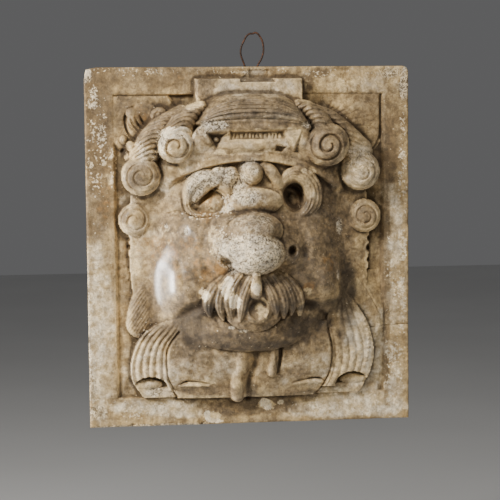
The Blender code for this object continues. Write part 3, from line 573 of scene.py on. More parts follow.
# %% Shape: the band under the hair
def diadem(sheet):
    sheet.roll([(-44, 149, 6.5, 58), (0, 150.5, 6.2, 60), (45, 149.5, 6.2, 58), (66, 148, 5, 53)],
               5, 1.5)
    sheet.roll([(-34, 147, 7, 60), (-50, 145, 12, 60), (-61, 136, 13, 56), (-69, 123, 11, 48),
                (-84, 108, 9, 39)], 7, 3)
    sheet.roll([(56, 148, 6, 56), (62, 138, 8, 55), (60, 126, 8, 53), (70, 113, 8, 48),
                (84, 103, 8, 42)], 7, 3)
    sheet.plate([(-28, 134), (38, 134), (38, 143), (-28, 143)], 50, 3.5, sunk=True)
    for k in range(14):
        x = -26 + 4.7 * k + 0.8 * np.sin(5.1 * k)
        tilt = 0.6 * np.sin(2.4 * k)
        head, foot = 141.5 + 0.8 * np.sin(3.3 * k), 136.0 + 1.2 * np.cos(1.9 * k)
        sheet.groove([(x + tilt, head, 1.4, 1.2), (x, (head + foot) / 2, 1.6, 1.9),
                      (x - tilt, foot, 1.4, 1.2)])
    sheet.roll([(-40, 126, 5, 53), (-20, 127.5, 6.5, 57), (10, 127.5, 6.5, 57), (30, 126, 5, 54)],
               6, 1.2)
    sheet.plate([(-45, 126), (-38, 139), (-52, 139)], 46, 2.6, 2.0, sunk=True)
    sheet.dome(-45, 134, 4.5, 3.5, 51, 5, 2.0, 1.2)
    sheet.plate([(49, 125), (58, 144), (38, 144)], 56, 1.5, 0.6, lean=0.05)
    sheet.plate([(28, 121), (34, 119), (39, 124), (29, 125)], 46, 3.0, sunk=True)


shaped(diadem)


# %% [markdown]
# Bosses between the eyes
#
# Rounded lumps sit between the brows, the middle one largest, and a short roll leads from it
# down to the right socket. They are domes pressed together, because the crease where two of
# them meet then comes by itself.

# %% Shape: bosses between the eyes
def brow_boss(sheet):
    sheet.dome(-29, 90, 13, 11.5, 56, 11, 2.2, 3, turn=0.5)
    sheet.dome(-40, 95, 10, 6, 53, 7, 2.0, 2.5, turn=-0.3)
    sheet.roll([(13, 103, 6, 52), (21, 95, 8, 55), (29, 83, 7, 53), (32, 76, 5, 50)], 8, 2.0)
    sheet.dome(-2.5, 93, 15.5, 16.5, 61, 16, 3.2, 1.8)


shaped(brow_boss)


# %% [markdown]
# Eye sockets
#
# Each socket is a thick brow that rolls round into a thin lid. The space between an inner and
# an outer oval becomes the ring, and arcs are scored on its outer side. The floor of the
# socket slopes, so that it is deepest under the brow.

# %% Shape: eye sockets
def eye_ring(sheet, place, size, hole, hole_size, top, lines):
    """A thick brow rolling round into a thin lid, grooved on its outer side."""
    (x, z), (rx, rz) = place, size
    side = np.sign(x)
    area, gx, gz = sheet.window(x - rx, x + rx, z - rz, z + rz)
    outer = np.hypot((gx - x) / rx, (gz - z) / rz)
    inner = np.hypot((gx - hole[0]) / hole_size[0], (gz - hole[1]) / hole_size[1])
    out = np.maximum(inner - 1, 0)
    t = out / np.maximum(out + 1.6 * (1 - outer), 1e-6)
    body = top - 10 * np.abs(2 * t - 0.9) ** 2.2 + 5 * ease((gz - z) / rz)
    fan = ease((np.cos(np.arctan2(gz - z, (gx - x) * side) - 0.3) + 0.25) / 0.9)
    body += 2.6 * fan * ridges(t * lines)
    sheet.raise_to(area, np.where((outer < 1) & (inner > 0.9), body, FAR_BELOW), 2.0)
    # the floor of the socket is deepest under the outer end of the brow
    floor = top - 15 - side * 0.55 * (gx - hole[0]) - 0.62 * (gz - hole[1])
    slope = 110 * np.maximum(inner - 0.9, 0)
    sheet.cut_to(area, np.where(inner < 1.6, floor + slope, -FAR_BELOW), 2.5)


def eyes(sheet):
    eye_ring(sheet, (-59, 66), (28, 30), (-54, 58), (21, 14.5), 45, 3.4)
    eye_ring(sheet, (56, 65), (31, 32), (50, 61), (14, 18), 46, 4.6)
    # a thick brow over each socket, the right one drawn out into strands
    sheet.roll([(-81, 58, 4, 46), (-79.5, 70, 7, 49), (-73, 81, 9, 53), (-60, 88.5, 9.5, 55),
                (-46, 86, 9, 56), (-35, 78, 7.5, 54), (-30, 70, 5, 52)], 10, 3.5)
    sheet.roll([(35, 82, 5, 50), (44, 91, 7, 52), (57, 91, 10, 52), (70, 81, 11, 50),
                (76, 65, 10.5, 46), (74, 50, 8, 42), (64, 41, 4, 40)],
               6, 4.0, strands=5, strand=1.7)
    # the left socket is filled but for a slit under the brow, the right one stands open
    sheet.dome(-52, 55, 22, 14.5, 42.5, 4, 3.0, 2.5, lean=-2, turn=0.5)
    sheet.roll([(-74, 61, 6, 44), (-68.5, 70, 8, 48), (-58, 79, 9, 51), (-47, 84, 8, 51)], 8, 5.0)
    # the slit, a short cut at its outer end, and two folds that run round below it
    for fold in (
            [(-43, 78.5, 2.4, 4), (-49.5, 72.5, 4.2, 10), (-56.4, 66, 4.8, 12), (-62, 61, 4.2, 9),
             (-66, 56, 2.8, 4)],
            [(-75, 59, 2.4, 2), (-71, 51.5, 3.2, 4), (-63, 47.5, 2.2, 1.5)],
            [(-86, 66, 1.5, 1), (-86, 55, 1.9, 2.4), (-82, 45.5, 1.9, 2.6),
             (-72.6, 41.3, 1.9, 2.8), (-55.7, 40.4, 1.9, 2.6), (-37, 45.5, 1.6, 1.5)],
            [(-81, 62, 1.4, 1), (-80.5, 53, 1.7, 2.2), (-75.5, 46, 1.5, 1)]):
        sheet.groove(fold)
    sheet.hollow(49, 62, 10.5, 16, 20, 18, 4, turn=0.4)
    sheet.dome(52, 56, 8, 12, 31, 8, 2.0, 3, turn=0.4)


shaped(eyes)


# %% [markdown]
# The collar
#
# Below the chin lies a wide flat collar with two small folds. Two deep crooked grooves cut a
# pair of straps out of its middle. The collar and the fans beside it share their edges, so
# each edge is a smooth line through a few points that both can ask for its place.

# %% Shape: the collar
def edge_line(points):
    """A function that gives the reach of a smooth edge at any level, from (level, reach) points."""
    line = curve_through(points)
    return lambda z: np.interp(-z, -line[:, 0], line[:, 1])


# where the collar ends on each side and the fan begins, and where the fan ends
collar_edges = {
    -1: edge_line([(-84, 84), (-101, 91), (-117, 103), (-132, 107), (-159, 106), (-172, 101),
                   (-190, 92)]),
    1: edge_line([(-46, 112), (-75, 99), (-92, 93), (-106, 95), (-128, 99), (-154, 98), (-173, 91),
                  (-190, 78)])}
fan_edges = {
    -1: edge_line([(-84, 94), (-94, 119), (-108, 137), (-125, 146), (-143, 151), (-156, 151),
                   (-170, 147), (-190, 133)]),
    1: edge_line([(-46, 113), (-71, 131), (-98, 147), (-131, 155), (-152, 153), (-171, 146),
                  (-190, 137)])}


def collar(sheet):
    area, x, z = sheet.window(-115, 115, SHEET_FOOT, -92)
    left, right = -collar_edges[-1](z), collar_edges[1](z)
    u = np.clip(np.abs(2 * x - left - right) / (right - left), 0, 1)
    value = 34 - 7 * u ** 3 - 19 * np.clip((-z - 126) / 62, 0, 1) ** 1.4
    sheet.raise_to(area, np.where(u < 1, value, FAR_BELOW), 1.5)
    for side in (-1, 1):
        for fold in ([(94, -172, 2, 0.5), (84, -165.5, 2.4, 3.5), (68, -165.5, 2.4, 3),
                      (50, -170.5, 1.6, 0.5)],
                     [(92, -171, 2.5, -1.5), (72, -170, 3, -3), (52, -172, 2, -1)]):
            sheet.groove(mirrored(fold, side))
    # straps hanging down the middle, with deep grooves beside them
    sheet.groove([(34, -112, 4, 7), (33.5, -135, 4, 8), (31, -156, 3, 3)])
    sheet.groove([(1, -112, 8, 5), (2.5, -130, 9, 6.5), (1.5, -148, 9, 6.5), (-4, -160, 8, 6),
                  (-5, -178, 7, 5), (-4, -191, 6, 4)])
    sheet.roll([(24, -114, 7, 35), (24, -134, 6.5, 36), (22.5, -150, 7.5, 36), (22.5, -155, 7, 35)],
               13, 1.2)
    sheet.roll([(-14.5, -114, 9, 36), (-14.5, -136, 9.5, 36), (-15, -149, 8.5, 33)], 9, 1.5)
    sheet.roll([(-19.5, -158, 8.5, 31), (-20, -172, 9.5, 30), (-19, -186, 8.5, 22)], 11, 2.0)


shaped(collar)


# %% [markdown]
# Ribbed fans and leaves
#
# Beside the collar two fans of ribs open downward and end in scoops, and a soft leaf lies
# over each. The ribs are ridges counted across from the inner to the outer edge, so they
# spread as the fan widens. Ribs laid one by one would need an edge drawn for each.

# %% Shape: ribbed fans and leaves
def fans(sheet):
    # the left leaf is low and scored on a slant, the right one smooth but for a crease
    sheet.roll([(-133, -34, 2, 7), (-134, -46, 7, 9), (-136, -60, 12, 10), (-137, -76, 16, 11),
                (-138, -94, 18, 11)], 8, 2.0, pitch=7.0, rib=0.9, slant=1.7)
    sheet.plate([(121, -58), (132, -110), (152, -124), (164, -104), (162, -86), (150, -60),
                 (137, -38), (124, -38)], 6, 0.6, 6.0)
    sheet.plate([(136, -100), (128, -192), (161, -192), (164, -160), (164, -100)], -0.5, 0.8, 2.0)
    sheet.groove([(138, -42, 1.8, 0.8), (150, -61, 2.0, 1.8), (164, -86, 1.8, 1.0)])
    for side, phase, count, top, levels in ((-1, -0.68, 5.26, -84, (27, 27, 17)),
                                            (1, -0.55, 6.06, -46, (17, 25, 17))):
        area, x, z = sheet.window(-165, 165, SHEET_FOOT + 1, top)
        u = x * side
        inner, outer = collar_edges[side](z), fan_edges[side](z)
        k = (u - inner) / np.maximum(outer - inner, 3)
        inside = (k > 0) & (k < 1)
        rib = (2.6 - 0.8 * side) * ease((top - z) / 30)
        base = np.interp(-z, (-top, 110, 184), levels)
        value = base - 8 * np.clip(k, 0, 1) ** 2 + rib * ridges(np.minimum(phase + count * k, 4.5))
        sheet.raise_to(area, np.where(inside, value, FAR_BELOW), 1.2)
        # an arched hollow near the foot with a low pad in it, and a smooth foot below
        middle, half = 126.5, 21
        arch = -174 + 15 * np.sqrt(np.clip(1 - ((u - middle) / half) ** 2, 0, 1))
        foot = inside & (z < np.where(np.abs(u - middle) < half, arch, -177))
        pad = np.sqrt(np.clip(1 - ((u - middle - 3) / 18) ** 2 - ((z + 169.5) / 7) ** 2, 0, 1))
        floor = np.where(z > -174.5, 3 + 7 * pad, 6.5)
        before = sheet.height[area]
        sheet.height[area] = np.where(foot, np.minimum(before, floor), before)
        sheet.groove([(side * float(collar_edges[side](level)), level, 2.4, 3.5)
                      for level in range(-186, -96, 12)])


shaped(fans)


# %% [markdown]
# The roll of the neck
#
# A thick soft roll runs under the chin from cheek to cheek and hides the top of the collar.
# One roll along nine points makes it, and a wide blend takes away the seam, as a wet thumb
# does.

# %% Shape: the roll of the neck
def neck(sheet):
    sheet.roll([(-106, -84, 12, 10), (-90, -90, 15, 24), (-68, -97, 17, 37), (-42, -105, 18, 47),
                (-3, -108, 19, 52), (32, -105, 19, 48), (54, -98, 17, 40), (74, -89, 15, 28),
                (90, -81, 12, 12)], 20, 12)


shaped(neck)


# %% [markdown]
# The moustache
#
# Four locks fall on each side, each a tapering roll scored into strands. They start under
# the nose, swing out and drop, and their tips hang free of the chin. A hair system would give
# loose hairs, but these are thick locks cut in clay, so each is a roll with its own places,
# levels and widths in one list.

# %% Shape: the moustache
def moustache(sheet):
    sheet.dome(-2, -45, 44, 26, 73, 17, 2.4, 8)
    sheet.dome(-2, -71, 37, 29.5, 65, 11, 3.0, 2)
    # locks from the outer one inward on each side, each scored into strands
    widths = (5, 6.6, 6.8, 5.2, 2.2)
    locks = (
        (1.2, (60, 66, 64, 60, 52), ((36, -34), (45.6, -47), (51.4, -59), (54.3, -69), (55.5, -81))),
        (1.0, (66, 70, 68, 64, 56), ((28.5, -34), (37, -46), (42, -59), (44.4, -70), (44, -80))),
        (1.15, (70, 74, 73, 68, 59), ((18, -32), (27, -46), (32, -60), (34, -72), (34.5, -83))),
        (1.05, (74, 78, 76, 71, 62), ((7, -34), (15.5, -48), (20.5, -61), (23, -72), (24.5, -83))),
        (1.2, (60, 66, 64, 60, 51), ((-40, -35), (-51, -47), (-56, -60), (-57, -70), (-55, -80))),
        (1.0, (66, 70, 68, 64, 55), ((-31, -34), (-40.5, -47), (-44, -61), (-43, -73), (-39, -84))),
        (1.35, (70, 74, 72, 67, 58), ((-20, -32), (-28, -46), (-31.5, -60), (-31, -72), (-28, -86))),
        (1.0, (76, 79, 77, 73, 66), ((-8, -33), (-13.5, -46), (-17.5, -60), (-19, -73), (-20, -85))))
    for wide, levels, places in locks:
        lock = [(*place, wide * width, level)
                for place, width, level in zip(places, widths, levels)]
        sheet.roll(lock, 6, 1.4, strands=3, strand=1.5)


shaped(moustache)


# %% [markdown]
# Mouth and chin
#
# The small round mouth shows the tip of a tongue. A pad of chin swings under it like a sling.
# The lips are a dome with a hollow cut into it, and the tongue is a second dome in the hollow.
# In the sheet they can simply be pressed on and cut in that order.

# %% Shape: mouth and chin
def mouth(sheet):
    sheet.dome(1.5, -70.5, 18.5, 19, 72, 7, 3.0, 3)
    sheet.hollow(1.5, -70.5, 13.5, 14.8, 57, 15, 1.5)
    sheet.dome(3.6, -72.5, 12, 13.2, 66.5, 2, 4.0, 1.5, lean=-3)
    # the short ridge from nose to lip
    sheet.roll([(-1.5, -29, 5, 79), (-1.5, -41, 7, 83), (-1.8, -51, 7.4, 80)], 5, 1.5)
    # the pad of the chin, from one end of the moustache to the other
    sheet.roll([(-44, -80, 6, 46), (-32, -94, 9, 50), (-4, -104, 11, 54), (20, -101, 10, 52),
                (40, -84, 6, 46)], 10, 4)


shaped(mouth)


# %% [markdown]
# The nose
#
# The nose is the highest form: a broad bridge, a bulb, a swelling tip and two low wings with
# small nostrils, all pressed together with wide blends so that they read as one form.

# %% Shape: the nose
def nose(sheet):
    # a bar between the eyes, then a bulb and a broad tip that swell out of one mound
    sheet.swell(-4, 6, 82, 50, 24)
    sheet.dome(1, 55, 38, 28, 58, 16, 2.4, 8)
    sheet.dome(2, 59, 33, 16.5, 64.5, 9, 2.6, 7, lean=2.0)
    sheet.dome(-6, 12, 58, 38, 82, 42, 2.0, 16)
    sheet.dome(-1, 25, 34, 22, 94, 26, 2.4, 8)
    sheet.dome(-31, 4, 20, 14, 85, 20, 2.0, 20, turn=0.3)
    sheet.dome(38, -2, 16, 16, 73, 18, 2.0, 18)
    sheet.dome(-1, -3, 35.5, 25.5, 106, 30, 2.4, 20)
    sheet.hollow(-36, -13.5, 8, 4, 54, 10, 3, turn=-0.6)
    sheet.hollow(45, -1, 5.5, 7, 55, 12, 5)


shaped(nose)


# %% [markdown]
# Uneven ground, and ground rubbed smooth
#
# No cast is smooth: the thumb, the rasp and the mould leave swells a few centimetres across
# and dimples of a few millimetres. Random numbers on a coarse lattice, blended by smooth
# steps, give such ground at any size. The random source has a fixed seed, so that the panel
# is the same panel every time. The opposite tool is a blurred copy of the sheet, in which
# small forms are wiped away as a rubbing hand wipes them.

# %% Random ground, soft ovals and a blurred copy
LATTICE_CORNER = 330.0
LATTICE_SPAN = 700.0
chance = np.random.default_rng(1927)
sheet_gx, sheet_gz = np.meshgrid(clay.x, clay.z)


def between(values, u, v, eased=False):
    """Values read between the four nearest crossings, straight across or by smooth steps."""
    column, row = u.astype(int), v.astype(int)
    across, up = u - column, v - row
    if eased:
        across, up = ease(across), ease(up)
    low = values[row, column] * (1 - across) + values[row, column + 1] * across
    high = values[row + 1, column] * (1 - across) + values[row + 1, column + 1] * across
    return low * (1 - up) + high * up


def uneven(spacing):
    """Smooth random ground between -1 and 1, its swells about the spacing apart."""
    count = int(LATTICE_SPAN / spacing) + 3
    lattice = chance.uniform(-1.0, 1.0, (count, count))
    u, v = (sheet_gx + LATTICE_CORNER) / spacing, (sheet_gz + LATTICE_CORNER) / spacing
    return between(lattice, u, v, eased=True)


def soft_oval(x, z, rx, rz, edge=1.65):
    """1 well inside an oval and 0 well outside it, with a soft edge between."""
    return ease(edge - np.hypot((sheet_gx - x) / rx, (sheet_gz - z) / rz))


def blurred(values, reach):
    """The mean over a square of the given reach, twice over."""
    width = 2 * reach + 1
    for axis in (0, 1, 0, 1):
        padded = np.concatenate([np.take(values, [0] * (reach + 1), axis), values,
                                 np.take(values, [-1] * reach, axis)], axis)
        total = np.cumsum(padded, axis)
        upper = np.take(total, range(width, total.shape[axis]), axis)
        lower = np.take(total, range(total.shape[axis] - width), axis)
        values = (upper - lower) / width
    return values


print("blurring lowers the highest point to", round(float(blurred(clay.height, 7).max()), 1), "mm")

# %% [markdown]
# Hand marks and the rubbed cheek
#
# Three sizes of random ground are laid over the sheet, in full on the carving and weaker on
# the border, which was struck off flat. Touching has rubbed the outer part of the left cheek
# smooth, so the sheet is blurred there first and takes little of the random ground.

# %% Seeded hand marks over the whole sheet
BORDER_SHARE = 0.4
CHEEK_BLUR = 7
# how far apart and how high in millimetres, and the share that is rubbed off the cheek
HAND_MARKS = ((17.0, 0.50, 0.5), (7.3, 0.42, 0.85), (3.1, 0.26, 0.95))

carved = np.clip((clay.height + 2.0) / 14.0, 0.0, 1.0)
rough_share = BORDER_SHARE + (1 - BORDER_SHARE) * carved
rubbed_cheek = soft_oval(-103, -43, 17, 44, edge=1.6)
clay.height += (blurred(clay.height, CHEEK_BLUR) - clay.height) * rubbed_cheek
for spacing, rise, rubbed_off in HAND_MARKS:
    ground = rise * uneven(spacing)
    clay.height += ground * rough_share * (1 - rubbed_off * rubbed_cheek)
print("hand marks lift the highest point to", round(float(clay.height.max()), 1), "mm")

# %% [markdown]
# Old damage
#
# Age shows in single marks: a crack that runs in from the right edge, a row of beads pressed
# into the outer rib of the right fan, flakes off the lower border, and a shallow dent on the
# nose. Crumbs of plaster have stayed in the outer end of the slit of the left eye. Each mark
# is one more groove or swell at its own place, worked into the same clay, and a dent is a
# swell that goes down.

# %% Crack, beads, dents and crumbs
def crack(sheet):
    sheet.groove([(146, -106, 0.9, 0.5), (152, -104.7, 1.2, 1.6), (161, -105.2, 1.0, 1.5),
                  (169, -103.2, 1.3, 1.8), (180, -104.0, 1.2, 1.6), (191, -102.4, 1.5, 1.8),
                  (202, -102.8, 1.6, 2.0)])


def beads(sheet):
    count = 11
    for k in range(count):
        turn = (k - 5) / (count / 2)
        x, z = 147.5 - 6.5 * turn ** 2, -122.8 - 31 * turn
        sheet.swell(x, z, 3.1, 2.9, 1.7)


def dents(sheet):
    for x, z, rx, rz, drop in (
            (-26, 1, 5, 4, 2.4), (-149, -221.5, 5, 3, 2.6), (-61, -222, 4, 3, 2.2),
            (19, -199.8, 10.6, 5.4, 0.8), (-55.7, -215, 8, 6, 0.7), (188, 60, 4, 9, 0.8),
            (-196, -40, 5, 12, 0.9), (120, 219, 12, 5, 0.8), (-196, 30, 4, 8, 1.0),
            (198, -150, 4, 7, 1.2)):
        sheet.swell(x, z, rx, rz, -drop)


def crumbs(sheet):
    filling = 40.0 - 4.0 * (((sheet_gx + 72) / 7) ** 2 + ((sheet_gz - 53.5) / 6) ** 2)
    sheet.height = np.maximum(sheet.height, filling)


for mark in (crack, beads, dents, crumbs):
    shaped(mark)

# %% [markdown]
# Rounded outer edges
#
# The outer arris of a slab is knocked round by years of handling. A Bevel modifier would
# round it all alike. Near the edge the height falls away in a quarter round here, wider where
# the random ground says so.

# %% Wearing the arris
ARRIS_WEAR = 1.6
ARRIS_CHANCE = 0.55
ARRIS_SPACING = 12.0
ARRIS_REACH = 1.6
edge_gap = np.minimum.reduce([sheet_gx - clay.x[0], clay.x[-1] - sheet_gx,
                              sheet_gz - clay.z[0], clay.z[-1] - sheet_gz])
arris = ARRIS_WEAR * (1.0 + ARRIS_CHANCE * uneven(ARRIS_SPACING))
within = np.clip(1.0 - edge_gap / np.maximum(arris * ARRIS_REACH, 0.5), 0.0, 1.0)
clay.height -= arris * (1.0 - np.sqrt(1.0 - np.clip(within, 0.0, 0.995) ** 2))
clay.height = np.minimum(clay.height, SHEET_PEAK)
print("arris worn back by up to", round(float(arris.max()), 2), "mm")


# %% [markdown]
# From sheet to surface
#
# Each crossing of the ruled lines becomes a point and each cell a face. The upper corners are
# drawn back onto the worn outline of the slab. A grid spends as many faces on the plain
# border as on the face, so the Decimate modifier then thins it where the surface is flat and
# keeps the faces where the carving is fine.

# %% The carved front as a thinned mesh
RIGHT_CORNER_RADIUS = 0.008
LEFT_CORNER_CHIP = 0.005
FRONT_TRIANGLES = 180000


def worn_outline(x, z):
    """Draws places near the upper corners back onto the worn outline of the slab."""
    left, right, head = panel_low[0], panel_high[0], panel_high[2]
    across = x - (right - RIGHT_CORNER_RADIUS)
    up = z - (head - RIGHT_CORNER_RADIUS)
    corner = (across > 0) & (up > 0)
    pull = np.where(corner, np.maximum(across, up) / np.maximum(np.hypot(across, up), 1e-9), 1.0)
    x = np.where(corner, right - RIGHT_CORNER_RADIUS + across * pull, x)
    z = np.where(corner, head - RIGHT_CORNER_RADIUS + up * pull, z)
    reach = np.maximum(x - left, head - z) / (3 * LEFT_CORNER_CHIP)
    wear = LEFT_CORNER_CHIP / 2 * np.clip(1.0 - reach, 0.0, 1.0)
    return x + wear, z - wear


def carved_front():
    x, z = worn_outline(sheet_gx * SHEET_ACROSS, panel_low[2] + (sheet_gz - clay.z[0]) * SHEET_UP)
    y = -SLAB_THICKNESS - clay.height * SHEET_OUT
    places = np.stack([x, y, z], -1).reshape(-1, 3)
    corner = (np.arange(ROWS - 1)[:, None] * COLUMNS + np.arange(COLUMNS - 1)).reshape(-1)
    faces = np.stack([corner, corner + 1, corner + COLUMNS + 1, corner + COLUMNS], -1)
    mesh = bpy.data.meshes.new("carved_front")
    mesh.from_pydata(places, [], faces)
    front = bpy.data.objects.new("carved_front", mesh)
    bpy.context.scene.collection.objects.link(front)
    thinning = front.modifiers.new("thinning", "DECIMATE")
    thinning.ratio = FRONT_TRIANGLES / (2 * len(faces))
    graph = bpy.context.evaluated_depsgraph_get()
    thin = bpy.data.meshes.new_from_object(front.evaluated_get(graph))
    bpy.data.objects.remove(front)
    return thin


front_mesh = carved_front()
print("carved front:", len(front_mesh.vertices), "points,", len(front_mesh.polygons), "faces")

# %% [markdown]
# The sides and the back of the slab
#
# The cast was poured face down, so its sides waver a little as the frame of the mould did,
# and its back is the plaster as it set, struck off level with a lath. A Solidify modifier
# would repeat the whole carving on the back. So the rim of the front is pulled back in a few
# rings, each drawn in by the waver, and a coarse, slightly uneven grid closes the back. The
# extruding tool hands its faces back in a new order each run, so they are sorted at the end.

# %% Rings round the rim and a struck-off back
SIDE_RINGS = (0.0340, 0.0255, 0.0165, 0.0080, 0.0016, 0.0)
SIDE_WAVER = 0.0005
BACK_ROUNDING = 0.0009
BACK_UNEVEN = 0.0009
BACK_CELLS = (54, 60)
BACK_MARGIN = 0.0012
BACK_STRIP = 0.006


def side_inset(x, y, z):
    """How far a place on the side is drawn in by the waver of the mould, in metres."""
    turn = math.atan2(z, x)
    wave = math.sin(7 * turn + 130 * y) + 0.7 * math.sin(19 * turn - 210 * y + 1.3)
    wave += 0.5 * math.sin(53 * turn + 90 * y + 0.4)
    return SIDE_WAVER * (1.1 + 0.5 * wave)


def drawn_in(place, inset):
    half = PANEL_WIDTH / 2
    x = max(min(place.x, half - inset), -half + inset)
    z = max(min(place.z, panel_high[2] - inset), panel_low[2] + inset)
    return x, z


def sides_from(bm):
    """Pulls the open rim back ring by ring and gives the edges of the last ring."""
    rim = [edge for edge in bm.edges if edge.is_boundary]
    for depth in SIDE_RINGS:
        ring = bmesh.ops.extrude_edge_only(bm, edges=rim)["geom"]
        for vertex in (item for item in ring if isinstance(item, bmesh.types.BMVert)):
            inset = side_inset(vertex.co.x, depth, vertex.co.z)
            if depth == 0.0:
                inset += BACK_ROUNDING
            x, z = drawn_in(vertex.co, inset)
            vertex.co = (x, -depth, z)
        rim = [item for item in ring if isinstance(item, bmesh.types.BMEdge) and item.is_boundary]
    return rim


def struck_back(bm):
    """A coarse uneven grid a little smaller than the back; gives its outer edges."""
    columns, rows = BACK_CELLS
    back = bmesh.ops.create_grid(bm, x_segments=columns, y_segments=rows, size=0.5)["verts"]
    for vertex in back:
        x = vertex.co.x * (PANEL_WIDTH - 2 * BACK_MARGIN - BACK_STRIP)
        z = vertex.co.y * (PANEL_HEIGHT - 2 * BACK_MARGIN - BACK_STRIP)
        struck = 0.5 + 0.5 * math.sin(95 * z + 9 * math.sin(11 * x)) * math.sin(41 * x + 3 * z)
        vertex.co = (x, -BACK_UNEVEN * struck, z)
    corners = set(back)
    return [edge for edge in bm.edges if edge.is_boundary and edge.verts[0] in corners]


def in_order(bm):
    """The triangles as rows of point numbers, sorted from the lowest up."""
    bm.verts.index_update()
    corners = np.array([[vertex.index for vertex in face.verts] for face in bm.faces])
    first = corners.argmin(1)[:, None]
    corners = np.take_along_axis(corners, (first + np.arange(3)) % 3, 1)
    return corners[np.lexsort(corners.T[::-1])]


def slab_from(front):
    bm = bmesh.new()
    bm.from_mesh(front)
    rim = sides_from(bm)
    inner = struck_back(bm)
    bmesh.ops.bridge_loops(bm, edges=rim + inner)
    bmesh.ops.triangulate(bm, faces=[face for face in bm.faces if len(face.verts) > 3])
    bmesh.ops.recalc_face_normals(bm, faces=bm.faces)
    slab = bpy.data.meshes.new("carved_panel")
    slab.from_pydata([vertex.co for vertex in bm.verts], [], in_order(bm))
    bm.free()
    return slab


panel_mesh = slab_from(front_mesh)
bpy.data.meshes.remove(front_mesh)
carved_panel = bpy.data.objects.new("carved_panel", panel_mesh)
bpy.context.scene.collection.objects.link(carved_panel)
panel_mesh.shade_smooth()
print("whole panel:", len(panel_mesh.polygons), "triangles")

# %% [markdown]
# Maps of age, touch, and painted light and shade
#
# A finish on an old cast isn't spread by chance: dirt sits where no hand reaches, and wax
# shines where every hand does. The sheet of clay already knows what is hollow, so the height
# less its own blurred copy gives hollows and crests, and the blurred height tells the carving
# from the border. Each map holds one value for every crossing of the sheet.

# %% Hollows, crests and the carving, read from the sheet
small_relief = clay.height - blurred(clay.height, 3)
wide_relief = clay.height - blurred(clay.height, 11)
maps = {
    # hollow: the recesses, darkened by dirt and by painted shade, more the deeper they lie
    "hollow": np.clip(-small_relief / 2.2, 0, 1) * 0.6 + np.clip(-wide_relief / 9.0, 0, 1) * 0.6,
    "crest": np.clip(small_relief / 1.6, 0, 1) * 0.6 + np.clip(wide_relief / 8.0, 0, 1) * 0.5,
    "carved": ease((blurred(clay.height, 3) - 4.0) / 14.0)}
print("maps:", ", ".join(f"{name} {values.mean():.2f}" for name, values in maps.items()))

# %% [markdown]
# Patches at given places
#
# The other maps are soft oval patches at the places where the real surface differs from its
# surroundings, and at places where light or shade is painted on. Each oval gives x, z, half
# width, half height and strength, and where two overlap, the stronger one counts. First come
# the palest places: chalk where the plaster is bare, with four small spots on the cheeks that
# are painted highlights, and cream where only the tone has flaked.

# %% Maps: chalk with painted highlights, and cream
def patches(ovals):
    """The strongest of some soft ovals, each (x, z, half width, half height, strength)."""
    total = np.zeros_like(clay.height)
    for *oval, strength in ovals:
        total = np.maximum(total, strength * soft_oval(*oval))
    return total


maps["chalk"] = patches([
    (-9, -3, 34, 22, 1), (-3, 33, 26, 12, 0.47), (-10, 65, 19, 10, 0.75), (-60, 88, 19, 10, 0.85),
    (-39, 95, 15, 7, 0.85), (-22, 85, 19, 10, 0.7), (-72, 74, 10, 16, 0.8),
    (-92, 142, 21, 6, 0.95), (-112, 133, 6, 7, 0.7), (-131, 118, 11, 5, 0.45),
    (-48, 152, 15, 6, 0.85), (-60, 146, 8, 8, 0.6), (65, 151, 7, 4, 0.6), (-5, 100, 12, 10, 0.62),
    (134, 105, 18, 18, 0.46), (-200, 214, 6, 9, 0.75), (179, 216, 19, 6, 0.6),
    (197, 199, 6, 18, 0.65), (-193, -205, 12, 10, 0.65), (-140, -198, 32, 5, 0.42),
    (-198, -169, 4, 25, 0.5), (-122, -179, 12, 6, 0.6), (-29, -95, 4, 2, 0.7),
    (-16, -99, 6, 2, 0.7), (-202, -100, 2, 88, 0.6), (-128, -223, 75, 2, 0.6),
    # the four small spots on the cheeks in this row are painted highlights
    (110, 25, 4, 10, 0.7), (-106, 29, 2, 3, 0.9), (-83, 23, 2, 4, 0.9), (106, -36, 2, 7, 0.7),
    (-30, 36, 14, 7, 0.22)])
maps["cream"] = patches([
    (122, 201, 50, 10, 0.45), (65, -52, 7, 5, 0.62), (-73, 179, 10, 8, 0.9),
    (-159, 106, 5, 16, 0.7), (-130, 70, 11, 6, 0.6), (-1, 138, 37, 7, 0.75),
    (47, 138, 11, 10, 0.7), (-17, 119, 34, 4, 0.6), (-33, -54, 6, 10, 0.6), (-40, -42, 6, 7, 0.6),
    (-2, -42, 6, 10, 0.75), (6, -71, 8, 12, 0.7), (20, -200, 10, 6, 0.9),
    (134, 100, 18, 18, 0.55), (-50, -213, 10, 4, 0.9), (-145, -11, 7, 25, 0.6),
    (-64, -53, 6, 6, 0.75), (-46, 55, 15, 10, 0.5), (-173, 95, 8, 18, 0.45),
    (117, -144, 15, 22, 0.5), (142, -107, 9, 25, 0.45), (131, -165, 17, 6, 0.6),
    (-66, -167, 15, 4, 0.8), (-158, -127, 5, 18, 0.35), (-89, 104, 24, 10, 0.4),
    (16, 46, 15, 4, 0.3), (69, 96, 12, 4, 0.5), (-167, -89, 2, 88, 0.85), (-164, 73, 2, 63, 0.5),
    (92, 132, 17, 17, 0.2), (-50, 14, 8, 17, 0.5), (-113, 12, 17, 20, 0.3),
    (-134, 218, 32, 8, 0.3), (116, 209, 32, 6, 0.3)])
print("chalk on", round(100 * float((maps["chalk"] > 0.5).mean()), 1), "% of the sheet")
